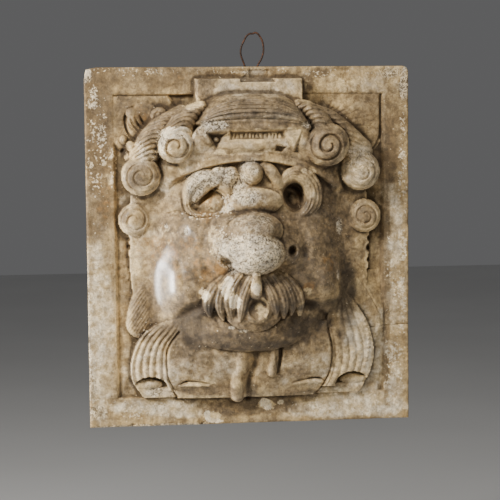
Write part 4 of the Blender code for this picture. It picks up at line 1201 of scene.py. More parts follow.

# %% [markdown]
# Soot, patina and stains, and painted shadow
#
# The dark places come next. Soot and painted shadow lie under the chin and behind the curls,
# the brown patina over most of the carving, with painted shadow in it under the left cheek,
# ochre in small warm spots, and stains run down the border.

# %% Maps: soot and painted shadow, patina with painted shadow, ochre and stain
# soot, and painted shadow under the chin, under the cheeks and at the edge of the right cheek
maps["soot"] = patches([
    (78, -121, 27, 7, 0.5), (-51, -67, 12, 12, 0.5), (-8, -64, 8, 11, 0.45),
    (37, -68, 24, 11, 0.5), (-77, -99, 16, 27, 0.9), (118, -99, 10, 27, 0.6),
    (60, -120, 10, 10, 0.6), (-2, -180, 7, 12, 0.8), (121, -49, 12, 30, 0.9),
    (104, -75, 25, 11, 0.75), (69, -71, 16, 7, 0.85), (63, -96, 32, 15, 0.75),
    (-65, -72, 20, 9, 0.85), (-79, -89, 17, 9, 0.75), (-29, -110, 49, 9, 0.7),
    (-1, -119, 61, 7, 0.8), (9, 163, 48, 5, 0.6), (50, 71, 10, 11, 0.7), (59, -4, 7, 6, 0.7),
    (-4, -176, 5, 11, 0.5), (98, 70, 10, 32, 0.4), (-47, 134, 6, 10, 0.5), (-125, 120, 7, 6, 0.5),
    (-29, -108, 37, 6, 0.5), (0, 47, 29, 2, 0.6), (74, 151, 12, 7, 0.5), (-155, 125, 5, 10, 0.6)])
# brown patina over the carving; the patches under the left cheek are painted shadow
maps["patina"] = patches([
    (0, 36, 26, 14, 0.5), (-49, -64, 14, 17, 1), (3, -203, 55, 11, 0.85), (57, 99, 10, 7, 0.6),
    (-157, 44, 6, 10, 0.7), (141, 38, 12, 10, 0.45), (-62, -98, 15, 22, 0.8),
    (-120, 98, 12, 12, 0.4), (-84, -2, 32, 18, 0.6), (-114, -15, 15, 17, 0.45),
    (-79, -93, 17, 42, 0.85), (-67, 5, 15, 10, 0.6), (75, 135, 7, 10, 0.8),
    (-57, 197, 10, 12, 0.95), (93, 132, 19, 17, 0.5), (-63, 13, 32, 32, 0.75),
    (-60, -21, 27, 17, 0.8), (71, 4, 32, 44, 0.85), (4, 172, 58, 12, 0.62), (-3, 153, 51, 6, 0.7),
    (-86, 161, 29, 15, 0.85), (-124, 144, 20, 15, 0.8), (-16, 194, 49, 10, 0.12),
    (84, 163, 24, 15, 0.6), (128, 159, 22, 15, 0.65), (-134, -76, 15, 32, 0.9),
    (-5, -104, 87, 17, 1), (-35, -59, 24, 24, 0.95), (24, -59, 29, 24, 0.95),
    (60, -188, 32, 7, 0.6), (-56, -177, 32, 6, 0.6), (-120, 168, 17, 15, 0.85),
    (-157, 174, 11, 17, 0.75), (10, -98, 27, 10, 0.8), (0, 41, 29, 11, 0.55),
    (92, 70, 12, 39, 0.7), (-67, -137, 37, 20, 0.25), (58, -140, 32, 20, 0.3),
    (-99, 30, 20, 12, 0.5), (118, 7, 10, 50, 0.6), (-138, 92, 17, 17, 0.45),
    (57, 114, 32, 7, 0.3), (-29, 117, 37, 7, 0.3)])
maps["ochre"] = patches([
    (-111, -1, 22, 17, 0.45), (-41, -20, 8, 8, 0.9), (66, -46, 7, 5, 0.7),
    (-58, -26, 17, 12, 0.4), (-179, 55, 9, 28, 0.3), (-135, 164, 12, 12, 0.3),
    (-171, 61, 10, 18, 0.25), (-77, 7, 15, 10, 0.35), (-61, -13, 17, 7, 0.4),
    (-91, -26, 12, 10, 0.3), (91, -20, 10, 10, 0.3), (-60, 43, 17, 6, 0.4), (-53, 61, 10, 9, 0.5),
    (-125, 1, 30, 15, 0.28), (-50, -13, 24, 12, 0.3)])
maps["stain"] = patches([
    (-114, -44, 17, 37, 0.45), (90, 216, 12, 6, 0.8), (62, -208, 15, 6, 0.6),
    (-172, 122, 8, 38, 0.5), (176, 116, 12, 48, 0.85), (173, -2, 6, 188, 0.7),
    (74, 204, 8, 10, 0.75), (-191, 51, 20, 38, 0.7), (-189, 162, 20, 78, 0.85),
    (-121, 213, 58, 15, 0.6), (-141, 171, 27, 20, 0.5), (185, 131, 12, 50, 0.5),
    (-20, -201, 30, 6, 0.4), (31, -201, 28, 6, 0.4), (148, 107, 5, 37, 0.4),
    (-10, 216, 75, 6, 0.4), (-4, -163, 74, 17, 0.3), (-89, 73, 10, 37, 0.35),
    (112, 51, 25, 12, 0.4), (57, 45, 15, 17, 0.5), (156, 175, 13, 28, 0.55),
    (-113, 30, 12, 25, 0.3), (185, 156, 10, 38, 0.4), (-179, 18, 12, 38, 0.3),
    (69, 133, 7, 24, 0.4)])
print("patina on", round(100 * float((maps["patina"] > 0.5).mean()), 1), "% of the sheet")

# %% [markdown]
# Scuffs, polish, and painted light and shade
#
# Scuffs break through the tone in small sharp flakes, and hands have polished the cheeks, the
# brow and the roll of the neck. Other places are rubbed pale without being polished, and some
# of them are painted light that lifts shade. The last list names the places where less dirt
# and less painted shade lie than their depth would hold, and takes its share off the map of
# hollows.

# %% Maps: scuff, polish, rubbed pale with painted light, and hollows with less dirt and painted shade
maps["scuff"] = patches([
    (-102, 143, 7, 6, 1.1), (-88, 146, 10, 4, 1.25), (-78, 137, 5, 7, 1), (-201, 219, 5, 5, 1.3),
    (198, 217, 5, 6, 1), (-38, -47, 5, 8, 1.6), (-27, -60, 6, 8, 1.7), (-34, -36, 5, 5, 1.3),
    (-63, -52, 5, 7, 1.2), (-2, -45, 4, 7, 1.2), (17, -198, 6, 4, 1.5), (21, -203, 5, 4, 1.4),
    (37, -198, 4, 2, 1.1), (-56, -212, 3, 6, 1.4), (-51, -218, 8, 2, 1.2), (-46, -220, 9, 2, 1.2),
    (-188, 123, 11, 50, 0.52), (-192, 169, 6, 32, 0.5), (-170, 98, 5, 22, 0.5),
    (-128, -197, 42, 10, 0.42), (-153, -207, 50, 6, 0.45), (195, 30, 5, 150, 0.46),
    (184, -27, 10, 62, 0.3), (183, -162, 11, 58, 0.46), (3, 218, 55, 4, 0.3),
    (109, 214, 55, 5, 0.3), (-146, 218, 50, 5, 0.3), (113, -208, 62, 10, 0.34),
    (-125, 122, 20, 12, 0.45), (-66, 42, 24, 4, 0.28), (-42, 14, 12, 17, 0.4),
    (-134, -118, 10, 27, 0.3), (-195, -100, 10, 88, 0.46), (-35, 55, 10, 12, 0.45)])
maps["polish"] = patches([
    (-103, -40, 13, 32, 1.8), (-85, 23, 6, 7, 0.9), (110, 25, 5, 11, 0.9),
    (-7, -110, 73, 12, 0.12), (-4, -53, 53, 24, 0.35), (-67, 1, 29, 36, 0.15),
    (78, -8, 27, 44, 0.5), (7, 167, 60, 15, 0.4)])
# places rubbed pale, and painted light where it lifts shade
maps["bright"] = patches([
    (186, -187, 11, 38, 0.45), (-128, -199, 42, 8, 0.9), (126, -201, 55, 10, 0.95),
    (165, -117, 7, 30, 0.9), (-145, 22, 12, 10, 0.6), (-151, 60, 10, 10, 0.6),
    (-110, 81, 15, 10, 0.7), (5, 217, 18, 4, 0.6), (77, 52, 9, 15, 0.8), (179, 65, 11, 15, 0.6),
    (114, -190, 38, 10, 0.9), (-115, -182, 20, 7, 0.8), (166, 200, 30, 12, 0.5),
    (-187, -101, 15, 100, 0.7), (-189, -16, 12, 50, 0.35), (120, -209, 68, 10, 0.95),
    (-93, -203, 35, 10, 0.75), (101, -209, 25, 10, 0.5), (-1, 197, 57, 11, 0.8),
    (2, 167, 56, 10, 0.7), (-130, 96, 20, 20, 0.5), (184, 11, 10, 50, 0.6),
    (186, -72, 11, 62, 0.4), (-126, -152, 35, 30, 0.65), (136, -132, 20, 49, 0.95),
    (71, -152, 37, 22, 0.5), (163, -138, 10, 43, 0.7), (135, 101, 22, 24, 1),
    (-61, -147, 42, 20, 0.6), (-17, 128, 73, 10, 0.35), (-80, 113, 17, 15, 0.6),
    (-125, -1, 17, 37, 0.25), (-95, 125, 19, 15, 0.25)])
# places that hold less dirt and less painted shade than their depth would give
less_dirt_and_shade = patches([
    (-78, 110, 11, 17, 0.85), (-91, 80, 20, 9, 0.85), (-65, 97, 22, 6, 0.7),
    (174, 65, 10, 25, 0.7), (120, 112, 12, 12, 0.6), (85, 177, 13, 13, 0.6),
    (-118, 16, 20, 10, 0.7), (-159, -108, 6, 53, 0.9), (-157, -46, 6, 25, 0.7),
    (168, -116, 6, 65, 0.9), (112, -187, 40, 6, 0.9), (-110, -180, 20, 7, 0.7),
    (20, -23, 14, 14, 0.6), (-12, 80, 15, 10, 0.6), (-58, 63, 14, 12, 0.9), (34, 79, 10, 10, 0.4)])
maps["hollow"] = maps["hollow"] * (1 - less_dirt_and_shade)
print("all maps:", ", ".join(f"{name} {values.mean():.2f}" for name, values in maps.items()))

# %% [markdown]
# Carrying the maps onto the mesh
#
# Each point of the mesh lies somewhere over the sheet. Its share of every map is read there,
# between the four nearest crossings, and kept with the point as a named attribute, which a
# material can read. Points on the sides and the back take the plain value nought.

# %% Attributes for the material
def read_map(values, x, z):
    """A map read at places on the panel, given in metres."""
    u = np.clip((x - panel_low[0]) / PANEL_WIDTH, 0, 0.99999) * (COLUMNS - 1)
    v = np.clip((z - panel_low[2]) / PANEL_HEIGHT, 0, 0.99999) * (ROWS - 1)
    return between(values, u, v)


places = np.empty(3 * len(panel_mesh.vertices), np.float32)
panel_mesh.vertices.foreach_get("co", places)
places = places.reshape(-1, 3)
on_front = places[:, 1] < -0.6 * SLAB_THICKNESS
for name, values in maps.items():
    attribute = panel_mesh.attributes.new(name, "FLOAT", "POINT")
    reading = read_map(values, places[:, 0], places[:, 2]) * on_front
    attribute.data.foreach_set("value", reading.astype(np.float32))
print("points with maps:", int(on_front.sum()), "of", len(places))


# %% [markdown]
# Placing shader nodes
#
# A material is a small tree of nodes, and most of the typing in one is the same three steps:
# make a node, set it, wire it. One helper does all three. A socket given a plain value is
# set, and a socket given another node's output is linked. The helpers after it are the few
# combinations that come up again and again.

# %% Helpers for shader nodes
def new_node(tree, kind, sockets=None, **settings):
    node = tree.nodes.new(kind)
    for name, value in settings.items():
        setattr(node, name, value)
    for key, value in (sockets or {}).items():
        if isinstance(value, bpy.types.NodeSocket):
            tree.links.new(value, node.inputs[key])
        else:
            node.inputs[key].default_value = value
    return node


def sums(tree, operation, first, second=0.0, third=0.0):
    """One step of arithmetic, between plain values or other nodes' outputs."""
    sockets = {0: first, 1: second}
    if operation == "MULTIPLY_ADD":
        sockets[2] = third
    return new_node(tree, "ShaderNodeMath", sockets, operation=operation).outputs[0]


def mixed(tree, share, below, above, blend="MIX", strength=1.0):
    """The colour above laid over the colour below by a share, weakened by a strength."""
    if strength != 1.0:
        share = sums(tree, "MULTIPLY", share, strength)
    sockets = {0: share, 6: below, 7: above}
    return new_node(tree, "ShaderNodeMix", sockets, data_type="RGBA", blend_type=blend).outputs[2]


def stepped(tree, value, low, high):
    """0 below low, 1 above high, a smooth step between."""
    node = new_node(tree, "ShaderNodeMapRange", {0: value, 1: low, 2: high, 3: 0.0, 4: 1.0},
                    interpolation_type="SMOOTHSTEP")
    return node.outputs[0]


def noise(tree, place, scale, detail=3.0, roughness=0.55, distortion=0.0):
    sockets = {"Vector": place, "Scale": scale, "Detail": detail, "Roughness": roughness,
               "Distortion": distortion}
    return new_node(tree, "ShaderNodeTexNoise", sockets).outputs["Fac"]


def mottled(tree, place, scale, detail, roughness, low, high, distortion=0.0):
    """Noise with its contrast raised, so that it is 0 below low and 1 above high."""
    return stepped(tree, noise(tree, place, scale, detail, roughness, distortion), low, high)


print("shader helpers ready")

# %% [markdown]
# Two effects that plaster and iron share
#
# Grime gathers on both materials in blotches with ragged edges, and both are pitted: the
# plaster by burst air bubbles, the iron by rust. Each effect is a node group with named
# sockets, so it is built once and every material sets its own scale and amount.

# %% Group: ragged patches
def effect_group(name, inputs, outputs):
    group = bpy.data.node_groups.new(name, "ShaderNodeTree")
    for socket, kind, value in inputs:
        made = group.interface.new_socket(socket, in_out="INPUT", socket_type=kind)
        if value is not None:
            made.default_value = value
    for socket in outputs:
        group.interface.new_socket(socket, in_out="OUTPUT", socket_type="NodeSocketFloat")
    start = group.nodes.new("NodeGroupInput")
    end = group.nodes.new("NodeGroupOutput")
    return group, start.outputs, end.inputs


ragged, given, gives = effect_group("ragged_patches", (
    ("Place", "NodeSocketVector", None), ("Share", "NodeSocketFloat", 0.5),
    ("Scale", "NodeSocketFloat", 60.0), ("Raggedness", "NodeSocketFloat", 0.5),
    ("Softness", "NodeSocketFloat", 0.15)), ("Mask",))
coarse = noise(ragged, given["Place"], given["Scale"], detail=4.0, roughness=0.62, distortion=0.3)
torn = sums(ragged, "SUBTRACT", coarse, 0.5)
torn = sums(ragged, "MULTIPLY_ADD", torn, given["Raggedness"], given["Share"])
half_soft = sums(ragged, "MULTIPLY", given["Softness"], 0.5)
edge_low = sums(ragged, "SUBTRACT", 0.5, half_soft)
edge_high = sums(ragged, "ADD", 0.5, half_soft)
ragged.links.new(stepped(ragged, torn, edge_low, edge_high), gives["Mask"])
print("group:", ragged.name, [socket.name for socket in given])

# %% Group: pits
WIDEST_PIT = 0.46
PIT_SLOPE = 0.14

pitted, given, gives = effect_group("pits", (
    ("Place", "NodeSocketVector", None), ("Scale", "NodeSocketFloat", 300.0),
    ("Amount", "NodeSocketFloat", 0.5)), ("Pit", "Height"))
cells = new_node(pitted, "ShaderNodeTexVoronoi", {
    "Vector": given["Place"], "Scale": given["Scale"], "Randomness": 1.0}, feature="F1")
pick = new_node(pitted, "ShaderNodeSeparateColor", {0: cells.outputs["Color"]}).outputs[0]
size = sums(pitted, "MULTIPLY", pick, WIDEST_PIT)
inside = sums(pitted, "SUBTRACT", size, cells.outputs["Distance"])
open_pit = stepped(pitted, inside, 0.0, PIT_SLOPE)
chosen = stepped(pitted, sums(pitted, "ADD", pick, given["Amount"]), 0.96, 1.0)
pit = sums(pitted, "MULTIPLY", open_pit, chosen)
pitted.links.new(pit, gives["Pit"])
pitted.links.new(sums(pitted, "SUBTRACT", 1.0, pit), gives["Height"])
print("group:", pitted.name, [socket.name for socket in given])


def use_effect(tree, group, **sockets):
    """The group as a node of the material, its sockets set or linked by name."""
    node = new_node(tree, "ShaderNodeGroup", None, node_tree=group)
    for name, value in sockets.items():
        socket = node.inputs[name.capitalize()]
        if isinstance(value, bpy.types.NodeSocket):
            tree.links.new(value, socket)
        else:
            socket.default_value = value
    return node.outputs

# %% [markdown]
# The old waxed plaster
#
# The plaster was toned and waxed, then handled, rubbed and splashed for decades, so its
# colour is never one colour. The palette runs from bare chalk to grime, and some of its
# colours also paint light and shade onto the surface. Grains of noise, from wide clouds down to
# specks, break up every tone, and each is listed once with its numbers.

# %% Material: plaster, its palette and its grains
BEIGE = (0.43, 0.30, 0.145, 1.0)
BEIGE_PALE = (0.68, 0.525, 0.30, 1.0)
BEIGE_DEEP = (0.150, 0.102, 0.054, 1.0)
# brown patina, also used as painted shadow under the left cheek
PATINA_AND_SHADOW = (0.105, 0.074, 0.042, 1.0)
PATINA_AND_SHADOW_PALE = (0.27, 0.197, 0.118, 1.0)
# dirt and painted shade in the hollows, dirt alone in the pits and specks
GRIME_AND_SHADE = (0.050, 0.031, 0.016, 1.0)
# soot and painted shadow
SOOT_AND_SHADOW = (0.055, 0.040, 0.026, 1.0)
OCHRE = (0.40, 0.21, 0.060, 1.0)
CREAM = (0.76, 0.59, 0.34, 1.0)
# bare chalk, also used for painted highlights and painted light
CHALK_AND_PAINTED_LIGHT = (0.90, 0.80, 0.63, 1.0)
# for each grain: its scale, detail and roughness, the low and high end of its step, and for
# some the distortion
GRAINS = {
    "cloud": (19.0, 6.0, 0.68, 0.38, 0.64),
    "mottle": (70.0, 7.0, 0.74, 0.36, 0.66),
    "fine": (260.0, 4.0, 0.75, 0.36, 0.66),
    "cluster": (55.0, 3.0, 0.70, 0.36, 0.60),
    "speck": (480.0, 3.0, 0.70, 0.60, 0.69),
    "blotch": (140.0, 8.0, 0.82, 0.34, 0.66, 0.4),
    "drift": (42.0, 5.0, 0.72, 0.36, 0.62, 0.6)}


def new_material(name):
    """A material, its node tree, its main shader and the place on the object."""
    material = bpy.data.materials.new(name)
    material.use_nodes = True
    tree = material.node_tree
    shader = tree.nodes["Principled BSDF"]
    place = new_node(tree, "ShaderNodeTexCoord").outputs["Object"]
    return material, tree, shader, place


plaster, tree, shader, place = new_material("waxed_plaster")
grain = {name: mottled(tree, place, *look) for name, look in GRAINS.items()}
share = {name: new_node(tree, "ShaderNodeAttribute", None, attribute_name=name).outputs["Fac"]
         for name in maps}
print("plaster:", len(grain), "grains,", len(share), "maps")

# %% [markdown]
# The toned ground and its first layers
#
# A warm beige that clouds from pale to deep brown is the ground. Over it come the places
# rubbed pale, some of them painted light that lifts shade, the pale crests, a brown patina
# over the carving with painted shadow in it under the left cheek, dark stains, ochre stains
# and cream. Each layer is one colour laid over the rest by a ragged mask, so a short list and
# one loop lay them on in their order.

# %% Plaster, the ground and the lower layers
def layer(colour, above, strength, where, scale, raggedness, softness):
    """A colour laid over the rest in ragged patches; also gives the patches themselves."""
    mask = use_effect(tree, ragged, place=place, share=where, scale=scale, raggedness=raggedness,
                      softness=softness)["Mask"]
    return mixed(tree, mask, colour, above, strength=strength), mask


colour = mixed(tree, grain["cloud"], BEIGE, BEIGE_DEEP, strength=0.55)
colour = mixed(tree, grain["mottle"], colour, BEIGE_PALE, strength=0.5)
# the pale tone of rubbed places, also used as painted light
rubbed_and_lit_tone = mixed(tree, grain["mottle"], BEIGE_PALE, CHALK_AND_PAINTED_LIGHT)
patina_and_shadow_tone = mixed(tree, grain["mottle"], PATINA_AND_SHADOW, PATINA_AND_SHADOW_PALE)
patina_and_shadow_tone = mixed(tree, grain["fine"], patina_and_shadow_tone, BEIGE, strength=0.35)
patina_share = sums(tree, "MULTIPLY_ADD", share["carved"], 0.28, share["patina"])
# for each layer: its colour and strength, the map, and the scale, raggedness and softness
for above, strength, where, scale, raggedness, softness in (
        # places rubbed pale, some of them painted light over shade
        (rubbed_and_lit_tone, 0.85, share["bright"], 60.0, 1.9, 0.8),
        (BEIGE_PALE, 0.60, share["crest"], 170.0, 1.3, 0.6),
        # brown patina, with painted shadow under the left cheek
        (patina_and_shadow_tone, 0.92, patina_share, 45.0, 1.7, 0.6),
        (BEIGE_DEEP, 0.86, share["stain"], 42.0, 1.6, 0.7),
        (OCHRE, 0.70, share["ochre"], 130.0, 1.9, 0.7),
        (CREAM, 0.85, share["cream"], 110.0, 1.9, 0.25)):
    colour, _ = layer(colour, above, strength, where, scale, raggedness, softness)
print("plaster layers so far:", len(tree.nodes), "nodes")

# %% [markdown]
# Dirt and painted shade, chalk and painted highlights, and flakes
#
# Soot with painted shadow comes next, then dirt with painted shade, which lies deepest where
# the hollow map is strongest. The chalk comes after them because it is bare plaster, where
# everything above has been rubbed off, and four small spots of it on the cheeks are painted
# highlights. Only in the chalk do the bubbles and the fine worm-like pores show as dark pits,
# closer together where less of the tone has gone. Small flakes show the same plaster with a
# hard edge. They stand in clusters, and where a scuff is strong the whole spot has flaked off.

# %% Plaster, the upper layers
# soot and painted shadow
colour, _ = layer(colour, SOOT_AND_SHADOW, 0.80, share["soot"], 55.0, 1.5, 0.9)
# dirt and painted shade, darkest in the deepest hollows
colour, dirt_and_shade = layer(colour, GRIME_AND_SHADE, 0.82, share["hollow"], 110.0, 0.9, 0.8)
bubbles = use_effect(tree, pitted, place=place, scale=520.0, amount=0.80)
pores = noise(tree, place, 340.0, detail=2.0, roughness=0.5, distortion=1.2)
toned_share = sums(tree, "SUBTRACT", 1.0, share["chalk"])
pores = sums(tree, "MULTIPLY_ADD", toned_share, 0.13, pores)
pits_in_chalk = sums(tree, "MAXIMUM", bubbles["Pit"], stepped(tree, pores, 0.545, 0.615))
# the chalk tone, also used for painted highlights
chalk_tone = mixed(tree, grain["fine"], CHALK_AND_PAINTED_LIGHT, CREAM, strength=0.5)
chalk_colour = mixed(tree, pits_in_chalk, chalk_tone, GRIME_AND_SHADE, strength=0.9)
# bare chalk, with four painted highlights on the cheeks
colour, chalky = layer(colour, chalk_colour, 0.90, share["chalk"], 75.0, 1.0, 0.7)
flaked_off = sums(tree, "MAXIMUM", sums(tree, "SUBTRACT", share["scuff"], 0.7), 0.0)
clusters = sums(tree, "MULTIPLY", grain["cluster"], 1.25)
scuffed = sums(tree, "MULTIPLY_ADD", share["scuff"], clusters, flaked_off)
colour, _ = layer(colour, chalk_tone, 0.88, scuffed, 330.0, 2.6, 0.16)
print("plaster with dirt and chalk:", len(tree.nodes), "nodes")

# %% [markdown]
# Specks, blotches and streaks
#
# Over all layers lie dark specks, and three tints that darken and lighten what is below: the
# small blotches everywhere, wide drifts that are weaker where the plaster is rubbed pale and
# where light is painted on, and on the border faint upright streaks, as water leaves them. A
# mapping that squeezes the height stretches the noise into streaks.

# %% Plaster, the last tints
colour = mixed(tree, grain["speck"], colour, GRIME_AND_SHADE, strength=0.65)
# the drifts are weaker on rubbed pale places and on painted light
less_on_bright = sums(tree, "MULTIPLY_ADD", share["bright"], -0.5, 1.0)
on_border = sums(tree, "SUBTRACT", 1.0, share["carved"])
upright = new_node(tree, "ShaderNodeMapping", {"Vector": place, "Scale": (1.0, 1.0, 0.16)})
streak = mottled(tree, upright.outputs[0], 150.0, 4.0, 0.7, 0.35, 0.65)
for look, dark, light, where in (
        (grain["blotch"], (0.58, 0.56, 0.52, 1.0), (1.26, 1.26, 1.24, 1.0), 1.0),
        (grain["drift"], (0.80, 0.80, 0.83, 1.0), (1.22, 1.19, 1.10, 1.0), less_on_bright),
        (streak, (0.86, 0.85, 0.83, 1.0), (1.10, 1.10, 1.08, 1.0), on_border)):
    colour = mixed(tree, where, colour, mixed(tree, look, dark, light), "MULTIPLY")
tree.links.new(colour, shader.inputs["Base Color"])
print("plaster colour:", len(tree.nodes), "nodes")

# %% [markdown]
# Wax and the grain of the skin
#
# Wax makes crests and polished cheeks glossier and lies on them as a thin clear coat, while
# chalk and the hollows darkened by dirt and painted shade stay matt. Two grains of bump, sandy
# and fine, and the pits in the chalk roughen the skin. Where it is glossy they fade, because
# polish wears them away too.

# %% Plaster, gloss and the relief of its skin
MATT = 0.74
GLOSSY = 0.20
BUMP_HEIGHT = 0.0007

wax = sums(tree, "MULTIPLY_ADD", share["crest"], 0.35, share["polish"])
gloss = stepped(tree, sums(tree, "SUBTRACT", wax, chalky), 0.0, 1.2)
rough = new_node(tree, "ShaderNodeMapRange", {0: gloss, 1: 0.0, 2: 1.0, 3: MATT, 4: GLOSSY})
rough = sums(tree, "MULTIPLY_ADD", dirt_and_shade, 0.15, rough.outputs[0])
rough = sums(tree, "MULTIPLY_ADD", grain["fine"], 0.10, rough)
tree.links.new(rough, shader.inputs["Roughness"])
tree.links.new(gloss, shader.inputs["Coat Weight"])
shader.inputs["Coat Roughness"].default_value = GLOSSY

sand = noise(tree, place, 330.0, detail=4.0, roughness=0.65)
dust = noise(tree, place, 1100.0, detail=2.0, roughness=0.6)
skin = sums(tree, "MULTIPLY_ADD", dust, 0.35, sand)
skin = sums(tree, "MULTIPLY_ADD", grain["mottle"], 0.5, skin)
skin = sums(tree, "MULTIPLY_ADD", sums(tree, "MULTIPLY", pits_in_chalk, chalky), -1.4, skin)
skin = sums(tree, "MULTIPLY", skin, sums(tree, "MULTIPLY_ADD", gloss, -0.85, 1.0))
bump = new_node(tree, "ShaderNodeBump", {"Strength": 0.6, "Distance": BUMP_HEIGHT, "Height": skin})
tree.links.new(bump.outputs["Normal"], shader.inputs["Normal"])
panel_mesh.materials.append(plaster)
print("plaster:", len(tree.nodes), "nodes")


# %% [markdown]
# The hanging wire
#
# The wire is a length of soft iron, bent by hand into a blunt point, its two legs let into
# the plaster. It follows a path, so a Geometry Nodes tree sweeps it: a round profile along
# the bent line, pitted by noise. The path is the one that the model's own wire takes, worked
# out from its box, and the wire stays inside that box.

# %% The path of the bent wire
WIRE_THICKNESS = wire_high[1] - wire_low[1]
LEG_SPACING = 0.015
LEG_DEPTH = 0.024
EYE_WIDTH = 0.029
EYE_RISE = wire_high[2] - panel_high[2] - WIRE_THICKNESS / 2
WIRE_FROM_MIDDLE = 0.0074
wire_y = (wire_high[1] + wire_low[1]) / 2


def eye_route():
    """Places on the wire from foot to foot, over the top of the slab."""
    leg, wide, rise = LEG_SPACING / 2, EYE_WIDTH / 2, EYE_RISE
    shape = [(-leg, -LEG_DEPTH), (-leg, -LEG_DEPTH / 2), (-leg, 0.0),
             (-leg - 0.2 * (wide - leg), 0.1 * rise), (-0.90 * wide, 0.45 * rise),
             (-0.62 * wide, 0.75 * rise), (-0.15 * wide, 0.96 * rise), (0.22 * wide, 0.975 * rise),
             (0.38 * wide, rise), (0.85 * wide, 0.86 * rise), (1.10 * wide, 0.55 * rise),
             (0.95 * wide, 0.28 * rise), (leg + 0.15 * (wide - leg), 0.06 * rise), (leg, 0.0),
             (leg, -LEG_DEPTH / 2), (leg, -LEG_DEPTH)]
    return [Vector((WIRE_FROM_MIDDLE + x, wire_y, panel_high[2] + z)) for x, z in shape]


def bent_line(name):
    curve = bpy.data.curves.new(name, "CURVE")
    curve.dimensions = "3D"
    curve.resolution_u = 16
    spline = curve.splines.new("BEZIER")
    route = eye_route()
    spline.bezier_points.add(len(route) - 1)
    for point, spot in zip(spline.bezier_points, route):
        point.co = spot
        point.handle_left_type = point.handle_right_type = "AUTO"
    line = bpy.data.objects.new(name, curve)
    bpy.context.scene.collection.objects.link(line)
    return line


wire_line = bent_line("wire_line")
print(f"wire {WIRE_THICKNESS * 1000:.2f} mm thick, eye {EYE_RISE * 1000:.1f} mm high")

# %% [markdown]
# Rust on the wire
#
# The iron is dark brown with orange blooms and small pits. It borrows both shared groups:
# ragged patches lay the orange rust over the dark scale, and the pits roughen it.

# %% Material: rusty wire
SCALE_BROWN = (0.030, 0.021, 0.017, 1.0)
RUST_ORANGE = (0.150, 0.055, 0.022, 1.0)
RUST_DUST = (0.26, 0.14, 0.07, 1.0)
RUST_BUMP = 0.00025

rusty, tree, shader, place = new_material("rusted_iron")
bloom = use_effect(tree, ragged, place=place, share=0.42, scale=260.0, raggedness=1.4, softness=0.5)
dusty = use_effect(tree, ragged, place=place, share=0.26, scale=700.0, raggedness=1.5, softness=0.4)
colour = mixed(tree, bloom["Mask"], SCALE_BROWN, RUST_ORANGE)
colour = mixed(tree, dusty["Mask"], colour, RUST_DUST, strength=0.6)
tree.links.new(colour, shader.inputs["Base Color"])
tree.links.new(sums(tree, "MULTIPLY_ADD", bloom["Mask"], 0.28, 0.50), shader.inputs["Roughness"])
tree.links.new(sums(tree, "MULTIPLY_ADD", bloom["Mask"], -0.55, 0.65), shader.inputs["Metallic"])
rust_pits = use_effect(tree, pitted, place=place, scale=1500.0, amount=0.6)
rust_grain = noise(tree, place, 1300.0, detail=3.0, roughness=0.6)
rough_skin = sums(tree, "MULTIPLY_ADD", rust_pits["Height"], 0.8, rust_grain)
bump = new_node(tree, "ShaderNodeBump", {
    "Strength": 0.6, "Distance": RUST_BUMP, "Height": rough_skin})
tree.links.new(bump.outputs["Normal"], shader.inputs["Normal"])
print("rust:", len(tree.nodes), "nodes")

# %% [markdown]
# Sweeping the wire with Geometry Nodes
#
# The tree turns the line into evenly spaced points, sweeps a circle along them with closed
# ends, and pushes each point in a little by noise, so that the wire looks drawn, bent and
# rusted rather than machined. Its sizes are named inputs of the modifier.

# %% The sweep as a node tree
WIRE_INPUTS = {"Radius": WIRE_THICKNESS / 2, "Step": 0.0007, "Pit Depth": 0.00012, "Seed": 3.0}
RING_POINTS = 16
POCK_SCALE = 620.0


def sweep_tree(material):
    tree = bpy.data.node_groups.new("bent_wire", "GeometryNodeTree")
    tree.interface.new_socket("Line", in_out="INPUT", socket_type="NodeSocketGeometry")
    for name, value in WIRE_INPUTS.items():
        socket = tree.interface.new_socket(name, in_out="INPUT", socket_type="NodeSocketFloat")
        socket.default_value = value
    tree.interface.new_socket("Wire", in_out="OUTPUT", socket_type="NodeSocketGeometry")
    given = tree.nodes.new("NodeGroupInput").outputs
    evenly = new_node(tree, "GeometryNodeResampleCurve", {
        "Curve": given["Line"], "Length": given["Step"]}, mode="LENGTH")
    ring = new_node(tree, "GeometryNodeCurvePrimitiveCircle", {
        "Resolution": RING_POINTS, "Radius": given["Radius"]})
    swept = new_node(tree, "GeometryNodeCurveToMesh", {
        "Curve": evenly.outputs[0], "Profile Curve": ring.outputs[0], "Fill Caps": True})
    spot = new_node(tree, "GeometryNodeInputPosition").outputs[0]
    pock = new_node(tree, "ShaderNodeTexNoise", {
        "Vector": spot, "W": given["Seed"], "Scale": POCK_SCALE, "Detail": 2.0},
        noise_dimensions="4D")
    depth = sums(tree, "MULTIPLY", pock.outputs["Fac"], given["Pit Depth"])
    inward = sums(tree, "MULTIPLY", depth, -1.0)
    normal = new_node(tree, "GeometryNodeInputNormal").outputs[0]
    shift = new_node(tree, "ShaderNodeVectorMath", {0: normal, "Scale": inward}, operation="SCALE")
    rusted = new_node(tree, "GeometryNodeSetPosition", {
        "Geometry": swept.outputs[0], "Offset": shift.outputs[0]})
    real = new_node(tree, "GeometryNodeRealizeInstances", {"Geometry": rusted.outputs[0]})
    dressed = new_node(tree, "GeometryNodeSetMaterial", {
        "Geometry": real.outputs[0], "Material": material})
    end = tree.nodes.new("NodeGroupOutput")
    tree.links.new(dressed.outputs[0], end.inputs["Wire"])
    return tree


